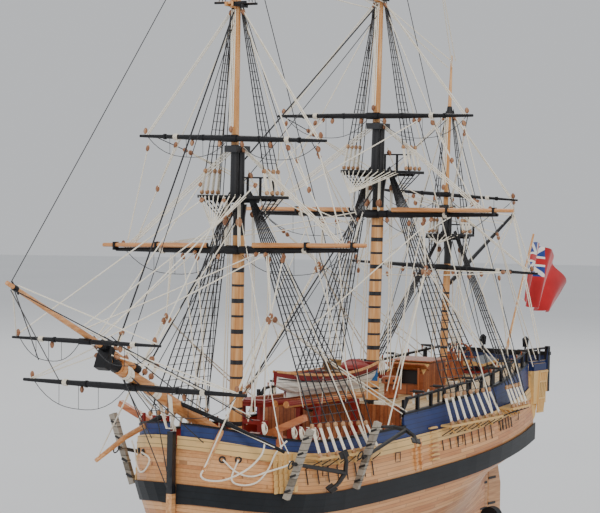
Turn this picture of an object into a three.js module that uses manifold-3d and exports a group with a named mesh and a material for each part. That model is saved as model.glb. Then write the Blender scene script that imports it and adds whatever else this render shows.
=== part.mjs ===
// Display model of a three-masted bark of the 1760s on its cradle, at 1:64.
// Millimetres. +X is the bow, +Y is port, +Z is up.
// Ship places: x forward from midships, y to port, z up from the keel's underside.
import * as THREE from 'three';
import { mergeVertices } from 'three/addons/utils/BufferGeometryUtils.js';
import Module from 'manifold-3d';

const wasm = await Module();
wasm.setup();

// Driving dimensions
const GAP = 0.3;
const keelHeight = 26;
const hullEnds = { stem: 238, stern: -227, forefoot: 196, stemFace: 244, postFace: -232 };
const keelTop = 5;
const keelHalf = 2.3;
const tumblehome = 0.1;
const wale = { half: 69.4, mid: 69.1, bow: 10.2, stern: 19.4, depth: 13.8, proud: 1.4 };
const sheer = { half: 66.4, mid: 96.3, bow: 15.8, stern: 21.9, depth: 8.6, proud: 1.1 };
const sheerLow = { x: 133.6, bow: 239, stern: -234.4 };
const entry = { wale: 100, keel: 10 };
const run = { wale: -62, keel: 46 };
const tuckDrop = 14.4;
const breakX = 34;
const deckDrop = 7.8;
const waistHeight = 7.8;
const quarterHeight = { break: 17, stern: 20.6 };
const quarterdeckRise = 14;
const wallThick = 1.7;
const railGap = 10.6;
const sternBody = { fore: -227.3, aft: -262, counter: 88.5, counterRise: 22, tuck: -243 };
const taffrail = { x: -260, height: 150.8, half: 44 };

// Masts: x where the axis crosses z = 109, rake aft in degrees, heights, radii
const masts = {
  fore: { x: 163.3, rake: 0, top: 273, head: 310, cross: 410, cap: 438, truck: 532,
    lower: 4.9, doubling: 3.5, topmast: 3.0, pole: 2.1, topHalf: 29, topLength: 46 },
  main: { x: -30.6, rake: 1.6, top: 294.5, head: 333.5, cross: 432, cap: 462, truck: 568,
    lower: 5.3, doubling: 3.7, topmast: 3.2, pole: 2.2, topHalf: 29.5, topLength: 46 },
  mizzen: { x: -148.4, rake: 2.5, top: 244.7, head: 270.5, cross: 349, cap: 394, truck: 394,
    lower: 3.3, doubling: 2.6, topmast: 2.2, pole: 1.5, topHalf: 17.5, topLength: 31 },
};
const topmastAhead = 7.0;
const poleAhead = 5.6;

// Yards: mast, height, half length, middle radius, distance ahead of the mast's axis, slope up to port
const yards = [
  { name: 'fore_yard', mast: 'fore', z: 236.9, half: 101, r: 2.7, ahead: 7.6, cant: 0.024, boomTip: 110 },
  { name: 'fore_topsail_yard', mast: 'fore', z: 315, half: 78, r: 2.1, ahead: 12.4, cant: -0.02 },
  { name: 'fore_topgallant_yard', mast: 'fore', z: 447, half: 49, r: 1.5, ahead: 16.6, cant: 0 },
  { name: 'main_yard', mast: 'main', z: 262.9, half: 108.5, r: 2.8, ahead: 8.1, cant: 0.012, boomTip: 123 },
  { name: 'main_topsail_yard', mast: 'main', z: 339, half: 87, r: 2.2, ahead: 12.8, cant: 0 },
  { name: 'main_topgallant_yard', mast: 'main', z: 472, half: 54, r: 1.6, ahead: 16.8, cant: 0 },
  { name: 'crossjack_yard', mast: 'mizzen', z: 219.5, half: 87, r: 1.9, ahead: 9.4, cant: -0.03 },
  { name: 'mizzen_topsail_yard', mast: 'mizzen', z: 279.3, half: 67.5, r: 1.6, ahead: 11.4, cant: -0.055 },
];
// Studding sail booms on the two course yards, held by an iron at the yard's end and one further in
const boomR = 1.8;
const boomHeel = 19;
const boomAhead = 3.6;
const boomLift = 3.3;
const bowsprit = { x: 241.6, z: 133.8, rise: 23.8, heel: -58, cap: 84, r: 4.6, tipR: 3.6 };
const jibboom = { heel: 48, tip: 194.4, r: 2.2, lift: 7.2 };
const headYards = [
  { name: 'spritsail_yard', along: 52, drop: 7.1, half: 90, r: 2.2 },
  { name: 'sprit_topsail_yard', along: 108, drop: -2.8, half: 59, r: 1.6 },
];
const gaff = { jawX: -158.5, jawZ: 206, peakX: -276.5, peakZ: 264, r: 1.9 };
const staff = { baseX: -267.5, baseZ: 143.8, topX: -317.6, topZ: 245.8, r: 1.3 };

// Shroud gangs: mast, channel's fore and aft ends, pairs of deadeyes, channel's breadth,
// its lift above the sheer and how much of the sheer's slope it follows
const gangs = [
  { mast: 'fore', from: 172, to: 90, lines: 8, breadth: 8.5, lift: 0, follow: 1 },
  { mast: 'main', from: -22, to: -104, lines: 8, breadth: 9, lift: 2.5, follow: 0.3 },
  { mast: 'mizzen', from: -127, to: -153, lines: 5, breadth: 12.5, lift: 2, follow: 0.4 },
];
const lanyardRise = 17;
const shroudR = 0.7;
const stayR = 0.6;

// Deck pieces
const boat = { bow: 139, stern: 7, y: 15.6, keel: 130.5, beam: 33, depth: 15, rise: 5, wall: 1.2 };
const spareSpars = { z: 127, r: 2.6, from: 136, to: 24, ys: [-13, 6, 15.6, 25] };
const wheel = { x: -181, r: 10.5, height: 17.5, spokes: 8 };
const capstan = { x: -62, r: 8, height: 17 };
const windlass = { x: 134, r: 4, half: 26, height: 12 };
const companion = { fore: -84, aft: -122, half: 17, height: 25 };
const skylight = { fore: -197, aft: -224, half: 12, height: 11.5 };

const ship = new THREE.Group();
const flyEnd = -384;

function rad(degrees) {
  return (degrees * Math.PI) / 180;
}

function mix(a, b, t) {
  return a + (b - a) * t;
}

function clamp01(t) {
  return Math.min(1, Math.max(0, t));
}

// Geometry helpers: each gives a closed body of welded vertices
function weld(geometry) {
  const bare = geometry.index ? geometry.clone() : geometry;
  ['normal', 'uv', 'uv1', 'color'].forEach((key) => bare.deleteAttribute(key));
  const merged = mergeVertices(bare, 1e-4);
  const index = [...merged.index.array];
  const kept = [];
  for (let i = 0; i < index.length; i += 3) {
    const [a, b, c] = [index[i], index[i + 1], index[i + 2]];
    if (a !== b && b !== c && c !== a) kept.push(a, b, c);
  }
  merged.setIndex(kept);
  return merged;
}

function solid(geometry) {
  const welded = weld(geometry);
  return new wasm.Manifold(new wasm.Mesh({
    numProp: 3,
    vertProperties: new Float32Array(welded.attributes.position.array),
    triVerts: new Uint32Array(welded.index.array),
  }));
}

function fromSolid(manifold) {
  const mesh = manifold.getMesh();
  const geometry = new THREE.BufferGeometry();
  geometry.setAttribute('position', new THREE.BufferAttribute(new Float32Array(mesh.vertProperties), 3));
  geometry.setIndex([...mesh.triVerts]);
  return geometry;
}

function fuse(parts, cuts = []) {
  let body = parts.map(solid).reduce((a, b) => a.add(b));
  for (const cut of cuts) body = body.subtract(solid(cut));
  return fromSolid(body);
}

function box(x0, x1, y0, y1, z0, z1) {
  const geometry = new THREE.BoxGeometry(x1 - x0, y1 - y0, z1 - z0);
  geometry.translate((x0 + x1) / 2, (y0 + y1) / 2, (z0 + z1) / 2);
  return geometry;
}

function aim(geometry, from, to) {
  const way = new THREE.Vector3().subVectors(to, from).normalize();
  geometry.applyQuaternion(new THREE.Quaternion().setFromUnitVectors(new THREE.Vector3(0, 1, 0), way));
  geometry.translate((from.x + to.x) / 2, (from.y + to.y) / 2, (from.z + to.z) / 2);
  return geometry;
}

function spar(from, to, r0, r1 = r0, sides = 12) {
  return aim(new THREE.CylinderGeometry(r1, r0, from.distanceTo(to), sides), from, to);
}

function beam(from, to, width, height = width) {
  return aim(new THREE.BoxGeometry(width, from.distanceTo(to), height), from, to);
}

function point(x, y, z) {
  return new THREE.Vector3(x, y, z);
}

function plate(outline, y0, y1) {
  const shape = new THREE.Shape(outline.map(([x, z]) => new THREE.Vector2(x, z)));
  const geometry = new THREE.ExtrudeGeometry(shape, { depth: y1 - y0, bevelEnabled: false });
  geometry.rotateX(Math.PI / 2);
  geometry.translate(0, y1, 0);
  return geometry;
}

function mirrored(geometry) {
  const copy = geometry.clone().scale(1, -1, 1);
  const index = [...copy.index.array];
  for (let i = 0; i < index.length; i += 3) [index[i + 1], index[i + 2]] = [index[i + 2], index[i + 1]];
  copy.setIndex(index);
  return copy;
}

// Rings of equal length make a skin, and a flat cap closes each end
function capTriangles(ring) {
  const n = ring.length;
  const axis = new THREE.Vector3();
  ring.forEach((p, k) => axis.add(new THREE.Vector3().crossVectors(p, ring[(k + 1) % n])));
  const size = axis.toArray().map(Math.abs);
  const [u, v] = size[0] > Math.max(size[1], size[2]) ? ['y', 'z'] : size[1] > size[2] ? ['z', 'x'] : ['x', 'y'];
  const flat = ring.map((p) => new THREE.Vector2(p[u], p[v]));
  const ringArea = THREE.ShapeUtils.area(flat);
  return THREE.ShapeUtils.triangulateShape(flat, []).map(([a, b, c]) => {
    const edges = [[a, b], [b, c], [c, a]];
    const follows = edges.map(([p, q]) => (q === (p + 1) % n ? 1 : p === (q + 1) % n ? -1 : 0));
    const vote = follows.reduce((sum, f) => sum + f, 0);
    const sameWay = vote !== 0 ? vote > 0 : THREE.ShapeUtils.area([flat[a], flat[b], flat[c]]) * ringArea > 0;
    return sameWay ? [a, b, c] : [a, c, b];
  });
}

function loft(rings) {
  const n = rings[0].length;
  const positions = rings.flat().flatMap((p) => [p.x, p.y, p.z]);
  let index = [];
  for (let i = 0; i + 1 < rings.length; i++) {
    for (let j = 0; j < n; j++) {
      const [a, b] = [i * n + j, i * n + ((j + 1) % n)];
      index.push(a, b, b + n, a, b + n, a + n);
    }
  }
  const last = (rings.length - 1) * n;
  capTriangles(rings[0]).forEach(([a, b, c]) => index.push(a, c, b));
  capTriangles(rings[rings.length - 1]).forEach((t) => index.push(...t.map((k) => k + last)));
  const at = (k) => new THREE.Vector3().fromArray(positions, 3 * k);
  let volume = 0;
  for (let i = 0; i < index.length; i += 3) {
    volume += at(index[i]).dot(at(index[i + 1]).cross(at(index[i + 2])));
  }
  if (volume < 0) index = index.reverse();
  const geometry = new THREE.BufferGeometry();
  geometry.setAttribute('position', new THREE.Float32BufferAttribute(positions, 3));
  geometry.setIndex(index);
  return geometry;
}

function material(color, roughness = 0.6, metalness = 0) {
  return new THREE.MeshStandardMaterial({ color, roughness, metalness });
}

const finish = {
  planking: () => material(0xd9a06a, 0.45),
  keel: () => material(0xc48d5c, 0.5),
  black: () => material(0x17181c, 0.5),
  yellow: () => material(0xe6c78c, 0.5),
  blue: () => material(0x26407e, 0.5),
  deck: () => material(0xe0c79c, 0.6),
  spar: () => material(0xcf9458, 0.4),
  red: () => material(0xa32a20, 0.5),
  white: () => material(0xf0eee6, 0.45),
  grey: () => material(0x9a8f7c, 0.7),
  line: () => material(0x1c1b1d, 0.8),
  brown: () => material(0xb0673a, 0.5),
  cloth: () => material(0xb8211f, 0.85),
};

function piece(name, geometry, surface) {
  const mesh = new THREE.Mesh(weld(geometry), surface);
  mesh.name = name;
  ship.add(mesh);
  return mesh;
}

// Hull lines
function lineHeight(line, x) {
  const forward = clamp01((x - sheerLow.x) / (sheerLow.bow - sheerLow.x));
  const aft = Math.max(0, (sheerLow.x - x) / (sheerLow.x - sheerLow.stern));
  return line.mid + line.bow * forward ** 2 + line.stern * aft ** 2;
}

function keelLine(x) {
  const forefoot = clamp01((x - hullEnds.forefoot) / (hullEnds.stem - hullEnds.forefoot));
  return keelTop + 40 * forefoot ** 2.4;
}

function halfBreadth(x, z) {
  const low = keelLine(x);
  const waleZ = lineHeight(wale, x);
  const s = clamp01((z - low) / (waleZ - low));
  const above = clamp01((z - waleZ) / (lineHeight(sheer, x) - waleZ));
  const frame = (1 - (1 - s) ** 2.7) ** (1 / 2.4);
  const widest = mix(wale.half, sheer.half, above) - tumblehome * Math.max(0, z - lineHeight(sheer, x));
  const start = mix(entry.keel, entry.wale, s);
  const u = clamp01((x - start) / (hullEnds.stem - start));
  const bow = (1 - u ** mix(2.3, 3.3, s)) ** (1 / mix(1.5, 2.2, s));
  const turn = mix(run.keel, run.wale, s);
  const v = Math.max(0, (turn - x) / (turn - hullEnds.stern));
  const tuck = clamp01((z - low) / (waleZ - tuckDrop - low));
  const close = tuck < 1 ? 1 - 0.68 * tuck ** 9 : mix(0.32, 0.37, above);
  const aft = Math.max(0, 1 - close * Math.min(v, 1.15) ** mix(1.6, 2.1, s));
  return Math.max(keelHalf, widest * frame * bow * aft);
}

function deckHeight(x) {
  return lineHeight(sheer, x) - deckDrop;
}

function quarterdeckHeight(x) {
  return lineHeight(sheer, x) + quarterdeckRise;
}

function bulwarkHeight(x) {
  if (x > breakX) return lineHeight(sheer, x) + waistHeight;
  const t = (breakX - x) / (breakX - hullEnds.stern);
  return lineHeight(sheer, x) + mix(quarterHeight.break, quarterHeight.stern, t);
}

const bowSteps = [1, 0.985, 0.955, 0.91, 0.85, 0.77, 0.67, 0.54, 0.38, 0.2];
const sternSteps = [0, 0.14, 0.28, 0.4, 0.5, 0.6, 0.7, 0.79, 0.87, 0.94, 1];
const stations = [
  ...bowSteps.map((u) => mix(entry.wale, hullEnds.stem, u)),
  80, 50,
  ...sternSteps.map((v) => mix(26, hullEnds.stern, v)),
];

// Frame at x from keel to top, port side first, then back down the starboard side
function frameRing(x, top) {
  const low = keelLine(x);
  const tuckZ = lineHeight(wale, x) - tuckDrop;
  const below = [0, 0.03, 0.09, 0.18, 0.3, 0.46, 0.64, 0.83, 1].map((t) => mix(low, tuckZ, t));
  const above = [0.25, 0.5, 0.75, 1].map((t) => mix(tuckZ, top, t));
  const port = [...below, ...above].map((z) => point(x, halfBreadth(x, z), z));
  return [...port, ...port.map((p) => point(p.x, -p.y, p.z)).reverse()];
}

function hullBody() {
  return loft(stations.map((x) => frameRing(x, deckHeight(x))));
}

// Keel, curved forefoot, stem and sternpost in one timber line
function backbone() {
  const underHull = [];
  for (let i = 0; i <= 8; i++) {
    const x = mix(hullEnds.forefoot, hullEnds.stem, i / 8);
    underHull.push([x + (i === 8 ? GAP : 0.12 * i), keelLine(x) - GAP]);
  }
  const stemTop = lineHeight(sheer, hullEnds.stem) + 3;
  const outer = new THREE.CubicBezierCurve(
    new THREE.Vector2(hullEnds.stemFace, 62), new THREE.Vector2(hullEnds.stemFace - 1, 22),
    new THREE.Vector2(226, 1), new THREE.Vector2(188, 0),
  ).getPoints(9).map((p) => [p.x, p.y]);
  return plate([
    [hullEnds.stern - GAP, keelTop - GAP], ...underHull,
    [hullEnds.stem + GAP + 0.3, 52], [hullEnds.stem + GAP + 1.2, 60], [hullEnds.stem + GAP + 1.6, stemTop],
    [hullEnds.stemFace, stemTop], ...outer,
    [hullEnds.postFace, 0], [hullEnds.postFace, sternBody.counter - 0.6],
    [hullEnds.stern - GAP, sternBody.counter - 0.6],
  ], -keelHalf, keelHalf);
}

// Point on the port side's planking, moved out square to it
function skinPoint(x, z, out) {
  const alongX = (halfBreadth(x + 0.01, z) - halfBreadth(x - 2, z)) / 2.01;
  const alongZ = halfBreadth(x, z + 0.5) - halfBreadth(x, z - 0.5);
  return point(x, halfBreadth(x, z), z).addScaledVector(point(-alongX, 1, -alongZ).normalize(), out);
}

// Height reached by going a distance down the planking
function downSkin(x, z, distance) {
  const step = 0.1;
  let low = z;
  for (let gone = 0; gone < distance; low -= step) {
    gone += Math.hypot(step, halfBreadth(x, low - step) - halfBreadth(x, low));
  }
  return low;
}

// A strake lies round both sides and the bow, clear of the planking
function strake(line, depth, proud) {
  const levels = [0, 0.25, 0.5, 0.75, 1];
  const ring = (x) => {
    const top = lineHeight(line, x);
    const heights = levels.map((t) => (t === 0 ? top : downSkin(x, top, depth * t)));
    const inner = heights.map((z) => skinPoint(x, z, GAP));
    const outer = heights.map((z) => skinPoint(x, z, proud));
    return [...inner, ...outer.reverse()];
  };
  const bowRing = () => {
    const top = lineHeight(line, hullEnds.stem);
    const side = (x) => levels.map((t) => point(x + 0.3 * t * (1 - t), keelHalf + GAP, top - depth * t));
    return [...side(hullEnds.stem + GAP), ...side(hullEnds.stem + proud).reverse()];
  };
  const along = [...stations].reverse().slice(0, -1);
  const port = loft([...along.map(ring), bowRing()]);
  return [port, mirrored(port)];
}

function bulwarkRing(x, z0, z1, out0 = 0, out1 = -wallThick) {
  const narrow = keelHalf + GAP + wallThick;
  const outer = (z) => (x > hullEnds.stem - 1 ? narrow : Math.max(halfBreadth(x, z) + out0, narrow));
  const inner = (z) => Math.max(halfBreadth(x, z) + out1, keelHalf + GAP);
  return [point(x, outer(z0), z0), point(x, outer(z1), z1), point(x, inner(z1), z1), point(x, inner(z0), z0)];
}

function hullStations(fromX, toX) {
  return [fromX, ...stations.filter((x) => x < fromX - 1 && x > toX + 1), toX];
}

// Bulwark: planked wall, capping, timberheads, quarterdeck rail, cathead and boomkin
function bulwark() {
  const wall = (from, to, top) => loft(hullStations(from, to).map((x) => {
    const foot = deckHeight(x) + GAP;
    const [, b, c] = bulwarkRing(x, foot, top(x));
    const seat = lineHeight(sheer, x);
    const [a, , , d] = bulwarkRing(x, seat, top(x)).map((p, i) => (i % 3 ? p : point(p.x, p.y, foot)));
    const [e, f, g, h] = bulwarkRing(x, top(x), top(x) + 1.4, 1, -wallThick - 0.8);
    return [a, b, e, f, g, h, c, d];
  }));
  const rail = (from, to, top) => loft(hullStations(from, to).map((x) =>
    bulwarkRing(x, top(x) - 0.2, top(x) + 1.4, 0.8, -wallThick - 0.6)));
  const parts = [
    wall(hullEnds.stem - 0.5, breakX - 0.6, (x) => lineHeight(sheer, x) + waistHeight),
    wall(breakX, hullEnds.stern, bulwarkHeight),
    rail(breakX + 1.5, hullEnds.stern, (x) => bulwarkHeight(x) + railGap),
  ];
  const postCount = 13;
  for (let i = 0; i < postCount; i++) {
    const x = mix(breakX - 0.5, hullEnds.stern + 2, i / (postCount - 1));
    const y = halfBreadth(x, bulwarkHeight(x)) - wallThick / 2;
    parts.push(box(x - 1.1, x + 1.1, y - 1.1, y + 1.1, bulwarkHeight(x) - 2, bulwarkHeight(x) + railGap + 0.5));
  }
  parts.push(beam(point(194.5, 46, 112), point(195.5, 77.3, 125.8), 4.4));
  parts.push(box(192, 197, 53, 57.5, 104, 117));
  parts.push(spar(point(217, 27, 120.8), point(245, 37, 108), 2.0, 1.9, 7));
  parts.push(spar(point(244.6, 36.8, 108.3), point(267.8, 44, 93.8), 1.9, 1.5, 7));
  return fuse(parts);
}

function deckOutline(fromX, toX, height, inset) {
  return hullStations(fromX, toX).map((x) => {
    const z = height(x);
    return { x, z, y: Math.max(halfBreadth(x, z) - inset, keelHalf) };
  });
}

function deckSlab(fromX, toX, top, bottom, inset) {
  return loft(deckOutline(fromX, toX, top, inset).map(({ x, z, y }) => {
    const low = bottom(x);
    return [point(x, y, low), point(x, y, z), point(x, -y, z), point(x, -y, low)];
  }));
}

function mainDeck() {
  const inset = wallThick + GAP + 0.6;
  const surface = (x) => deckHeight(x) + 1.5;
  const slab = deckSlab(hullEnds.stem - 5, breakX + 2.2, surface, (x) => deckHeight(x) + GAP, inset);
  const hatch = box(54, 84, -12, 12, surface(54) - 1, surface(54) + 4);
  const scuttle = box(206, 218, -7, 7, surface(218) - 0.9, surface(218) + 3);
  const bittX = windlass.x;
  const bitts = [];
  for (const side of [-1, 1]) {
    const y = side * (windlass.half + 2.6);
    bitts.push(box(bittX - 3, bittX + 3, y - 2, y + 2, surface(bittX) - 0.9, surface(bittX) + 21));
    bitts.push(beam(point(bittX + 5.4, side * 8, surface(bittX) - 0.6), point(bittX + 7, side * 8, 126), 2.6));
    bitts.push(box(178, 184, side * 9 - 2, side * 9 + 2, surface(184) - 0.9, surface(184) + 15));
  }
  bitts.push(box(178.5, 183.5, -10, 10, surface(180) + 9, surface(180) + 12));
  bitts.push(box(bittX + 2, bittX + 13, -13, 13, 125, 127.5));
  bitts.push(box(bittX + 4.6, bittX + 9.6, -12, 12, 112, 115));
  const bearing = windlass.half + 6;
  const axisZ = deckHeight(bittX) + windlass.height;
  const bore = spar(point(bittX, -bearing, axisZ), point(bittX, bearing, axisZ), 1.9, 1.9, 10);
  return fuse([slab, hatch, scuttle, ...bitts], [bore]);
}

function quarterdeckBody() {
  const inset = wallThick + GAP + 0.6;
  const block = deckSlab(breakX, hullEnds.stern, quarterdeckHeight, (x) => deckHeight(x) + GAP, inset);
  const y = halfBreadth(breakX, 110) - inset;
  const z = quarterdeckHeight(breakX);
  const boards = box(breakX - 1.5, breakX, 1.2 - y, y - 1.2, z - 2, z + 9);
  return fuse([block, boards]);
}

// Counter, stern timbers, taffrail with its corner posts, and quarter pieces
function transomBody() {
  const xs = [sternBody.fore, -232, -238, sternBody.tuck, -250, -256, sternBody.aft];
  const bottom = (x) => {
    const t = clamp01((sternBody.fore - x) / (sternBody.fore - sternBody.tuck));
    const up = clamp01((sternBody.tuck - x) / (sternBody.tuck - sternBody.aft));
    return sternBody.counter + sternBody.counterRise * t ** 1.3 + 12 * up ** 1.2;
  };
  const block = loft(xs.map((x) => {
    const low = bottom(x);
    const top = lineHeight(sheer, x) + quarterdeckRise;
    const taper = 0.04 * (hullEnds.stern - x);
    const half = (z) => Math.min(halfBreadth(Math.max(x, hullEnds.stern), z), 46) - taper;
    const port = [0, 0.25, 0.5, 0.75, 1].map((t) => mix(low, top, t)).map((z) => point(x, half(z), z));
    return [...port, ...port.map((p) => point(p.x, -p.y, p.z)).reverse()];
  }));
  const parts = [block, box(taffrail.x - 2, taffrail.x, -taffrail.half, taffrail.half, 112, 144)];
  parts.push(box(taffrail.x - 3, taffrail.x + 1, -taffrail.half - 1, taffrail.half + 1, 143, 146));
  for (const side of [-1, 1]) {
    const y = side * (taffrail.half - 1);
    parts.push(box(taffrail.x - 2, taffrail.x + 2.4, y - 1.6, y + 1.6, 112, taffrail.height));
    parts.push(box(-258, sternBody.fore, side * 42 - 0.9, side * 42 + 0.9, 128, 139));
    parts.push(box(-258, sternBody.fore, side * 42 - 1.2, side * 42 + 1.2, 148.4, 150));
    parts.push(box(-246, -243, side * 42 - 1, side * 42 + 1, 137, 149));
    parts.push(box(-253, -229, side * 43 - 2.5, side * 43 + 2.5, 103, 137));
  }
  parts.push(box(-266, -259, -4, 4, 136, 141));
  return fuse(parts);
}

function rudderBody() {
  const front = hullEnds.postFace - 0.8;
  const blade = plate([
    [front, 3], [front - 25, 3], [front - 25, 30], [front - 20, 44], [front - 14, 58],
    [front - 12, 87.2], [front, 87.2],
  ], -1.9, 1.9);
  // The fore edge is bearded so that the blade clears the post at full helm
  const bevels = [-1, 1].map((side) => box(-4, 4, side > 0 ? 0 : -3, side > 0 ? 3 : 0, -1, 90)
    .rotateZ(rad(side * -22.8)).translate(front, side * 0.85, 0));
  return fuse([blade], bevels);
}

function wheelBody() {
  const ring = new THREE.TorusGeometry(wheel.r, 0.9, 5, 24).rotateY(Math.PI / 2);
  const parts = [ring, spar(point(-2, 0, 0), point(22, 0, 0), 1.0, 1.0, 8)];
  parts.push(spar(point(-1.5, 0, 0), point(1.5, 0, 0), 2.4, 2.4, 8));
  parts.push(spar(point(6, 0, 0), point(16, 0, 0), 3.4, 3.4, 10));
  for (let i = 0; i < wheel.spokes; i++) {
    const a = (i * 2 * Math.PI) / wheel.spokes;
    const tip = wheel.r + 4;
    parts.push(spar(point(0, 0, 0), point(0, tip * Math.cos(a), tip * Math.sin(a)), 0.75, 0.65, 4));
  }
  return fuse(parts);
}

function capstanBody() {
  const profile = [
    [0, 0], [5.6, 0], [5.6, 2.4], [3.4, 4.4], [3.2, 10.5],
    [7.4, 11.4], [7.8, 12.2], [7.8, 15.8], [6.8, 17], [0, 17],
  ];
  const barrel = new THREE.LatheGeometry(profile.map(([r, z]) => new THREE.Vector2(r, z)), 20);
  barrel.rotateX(Math.PI / 2);
  const whelps = [];
  for (let i = 0; i < 5; i++) {
    const whelp = box(2.4, 5.4, -0.9, 0.9, 1.6, 10.9);
    whelps.push(whelp.rotateZ((i * 2 * Math.PI) / 5));
  }
  return fuse([barrel, ...whelps]);
}

function windlassBody() {
  const parts = [spar(point(0, -windlass.half, 0), point(0, windlass.half, 0), windlass.r, windlass.r, 8)];
  parts.push(spar(point(0, -6, 0), point(0, 6, 0), windlass.r + 0.9, windlass.r + 0.9, 12));
  for (const side of [-1, 1]) {
    const inner = side * (windlass.half - 0.2);
    parts.push(spar(point(0, inner, 0), point(0, side * (windlass.half + 7), 0), 1.6, 1.6, 8));
    const end = side * (windlass.half + 5.2);
    parts.push(spar(point(0, end, 0), point(0, end + side * 8, 0), windlass.r, windlass.r, 8));
  }
  return fuse(parts);
}

function wheelStand() {
  const deckZ = quarterdeckHeight(wheel.x);
  const axisZ = deckZ + wheel.height;
  const posts = [4, 18].map((dx) => box(wheel.x + dx - 1.2, wheel.x + dx + 1.2, -4, 4, deckZ + GAP, axisZ + 5));
  const sill = box(wheel.x + 3, wheel.x + 19, -4, 4, deckZ + GAP, deckZ + 2.5);
  const bores = [4, 18].map((dx) => spar(
    point(wheel.x + dx - 3, 0, axisZ), point(wheel.x + dx + 3, 0, axisZ), 1.3, 1.3, 12));
  return fuse([...posts, sill], bores);
}

function companionBody() {
  const z = (x) => quarterdeckHeight(x);
  const { fore, aft, half, height } = companion;
  const walls = plate([
    [fore, z(fore) + GAP], [fore, z(fore) + height - 8], [fore - 10, z(fore) + height],
    [aft, z(aft) + height], [aft, z(aft) + GAP],
  ], -half, half);
  const door = box(fore - 12, fore + 5, -half + 5, half - 5, z(fore) + 8, z(fore) + height - 4);
  return fuse([walls], [door]);
}

function skylightBody() {
  const { fore, aft, half, height } = skylight;
  const z = quarterdeckHeight(fore);
  const za = quarterdeckHeight(aft);
  const base = plate([
    [fore, z + GAP], [fore, z + height - 4], [aft, za + height - 4], [aft, za + GAP],
  ], -half, half);
  const middle = (fore + aft) / 2;
  const roof = loft([-half - 1.5, 0, half + 1.5].map((y) => {
    const crown = y === 0 ? 3 : 0;
    const top = z + height - 4;
    return [point(fore + 1.5, y, top - 0.5), point(aft - 1.5, y, za + height - 4.5),
      point(aft - 1.5, y, za + height - 2.4 + crown), point(middle, y, (top + za + height - 4) / 2 + 1.6 + crown),
      point(fore + 1.5, y, top + 1.6 + crown)];
  }));
  return fuse([base, roof]);
}

// Ship's boat: a round-bilged open shell with thwarts, keel and transom
function boatBody() {
  const length = boat.bow - boat.stern;
  const shell = (grow, lift) => {
    const sections = [0, 0.12, 0.3, 0.5, 0.68, 0.82, 0.92, 0.98].map((t) => {
      const x = boat.stern + (grow ? 2 : 0) + t * (length - (grow ? 5 : 0));
      const spread = t < 0.5 ? 1 - 0.3 * (1 - 2 * t) ** 2 : 1 - (2 * t - 1) ** 2.6;
      const half = Math.max(0.6, (boat.beam / 2) * spread - grow);
      const top = boat.keel + boat.depth + boat.rise * (2 * t - 1) ** 2 + lift;
      const low = boat.keel + 1.5 + (t > 0.7 ? 9 * ((t - 0.7) / 0.3) ** 2 : 3 * (1 - t / 0.7) ** 2) + grow;
      const port = [0, 0.15, 0.45, 0.75, 1].map((s) =>
        point(x, boat.y + half * Math.min(1, s === 0 ? 0.15 : s ** 0.42), mix(low, top, s ** 1.4)));
      const stbd = port.map((p) => point(p.x, 2 * boat.y - p.y, p.z)).reverse();
      return [...port, ...stbd];
    });
    return loft(sections);
  };
  const keelPiece = box(boat.stern + 2, boat.bow - 16, boat.y - 0.9, boat.y + 0.9, boat.keel, boat.keel + 4.5);
  const thwarts = [0.3, 0.45, 0.6, 0.74].map((t) => {
    const x = boat.stern + t * length;
    return box(x - 2.2, x + 2.2, boat.y - boat.beam / 2 + 1.2, boat.y + boat.beam / 2 - 1.2,
      boat.keel + boat.depth - 3.6, boat.keel + boat.depth - 2.4);
  });
  const hollow = fuse([shell(0, 0), keelPiece], [shell(boat.wall, 3)]);
  const seats = thwarts.map(solid).reduce((a, b) => a.add(b)).intersect(solid(shell(0, 0)));
  return fromSolid(solid(hollow).add(seats));
}

function spareSparStack() {
  const { from, to, z, r } = spareSpars;
  const parts = spareSpars.ys.map((y) => spar(point(from, y, z), point(to, y, z), r, r * 0.85, 10));
  for (const x of [100, 46]) {
    const foot = deckHeight(x) + 1.5 + GAP;
    parts.push(box(x - 2.2, x + 2.2, -22, 32, z - 5.6, z - 1.4));
    parts.push(box(x - 2, x + 2, -21, -17, foot, z - 2));
    parts.push(box(x - 2, x + 2, 27, 31, foot, z - 2));
  }
  return fuse(parts);
}

// Masts
function mastX(name, z) {
  const mast = masts[name];
  return mast.x - Math.tan(rad(mast.rake)) * (z - 109);
}

function mastPoint(name, z, ahead = 0, y = 0) {
  return point(mastX(name, z) + ahead, y, z);
}

function capBlock(name, z, r, ahead, width, height) {
  const x = mastX(name, z);
  return box(x - r - 1.6, x + ahead + r + 2.4, -width / 2, width / 2, z - height, z);
}

function lowerMast(name) {
  const m = masts[name];
  const deck = name === 'fore' ? deckHeight(m.x + m.lower) + 1.5 : quarterdeckHeight(m.x - m.lower - 1);
  const cap = capBlock(name, m.head, m.doubling, topmastAhead, m.lower * 2.05, 4.6);
  const parts = [
    spar(mastPoint(name, deck + GAP), mastPoint(name, m.top - 12), m.lower, m.lower * 0.86, 12),
    spar(mastPoint(name, m.top - 14), mastPoint(name, m.top - 4), m.lower * 0.86, m.lower * 1.12, 12),
    spar(mastPoint(name, m.top - 5), mastPoint(name, m.head - 0.5), m.doubling, m.doubling * 0.92, 12),
    cap,
  ];
  const bore = spar(
    mastPoint(name, m.head - 9, topmastAhead), mastPoint(name, m.head + 4, topmastAhead),
    m.topmast + GAP, m.topmast + GAP, 12);
  return fuse(parts, [bore]);
}

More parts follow.
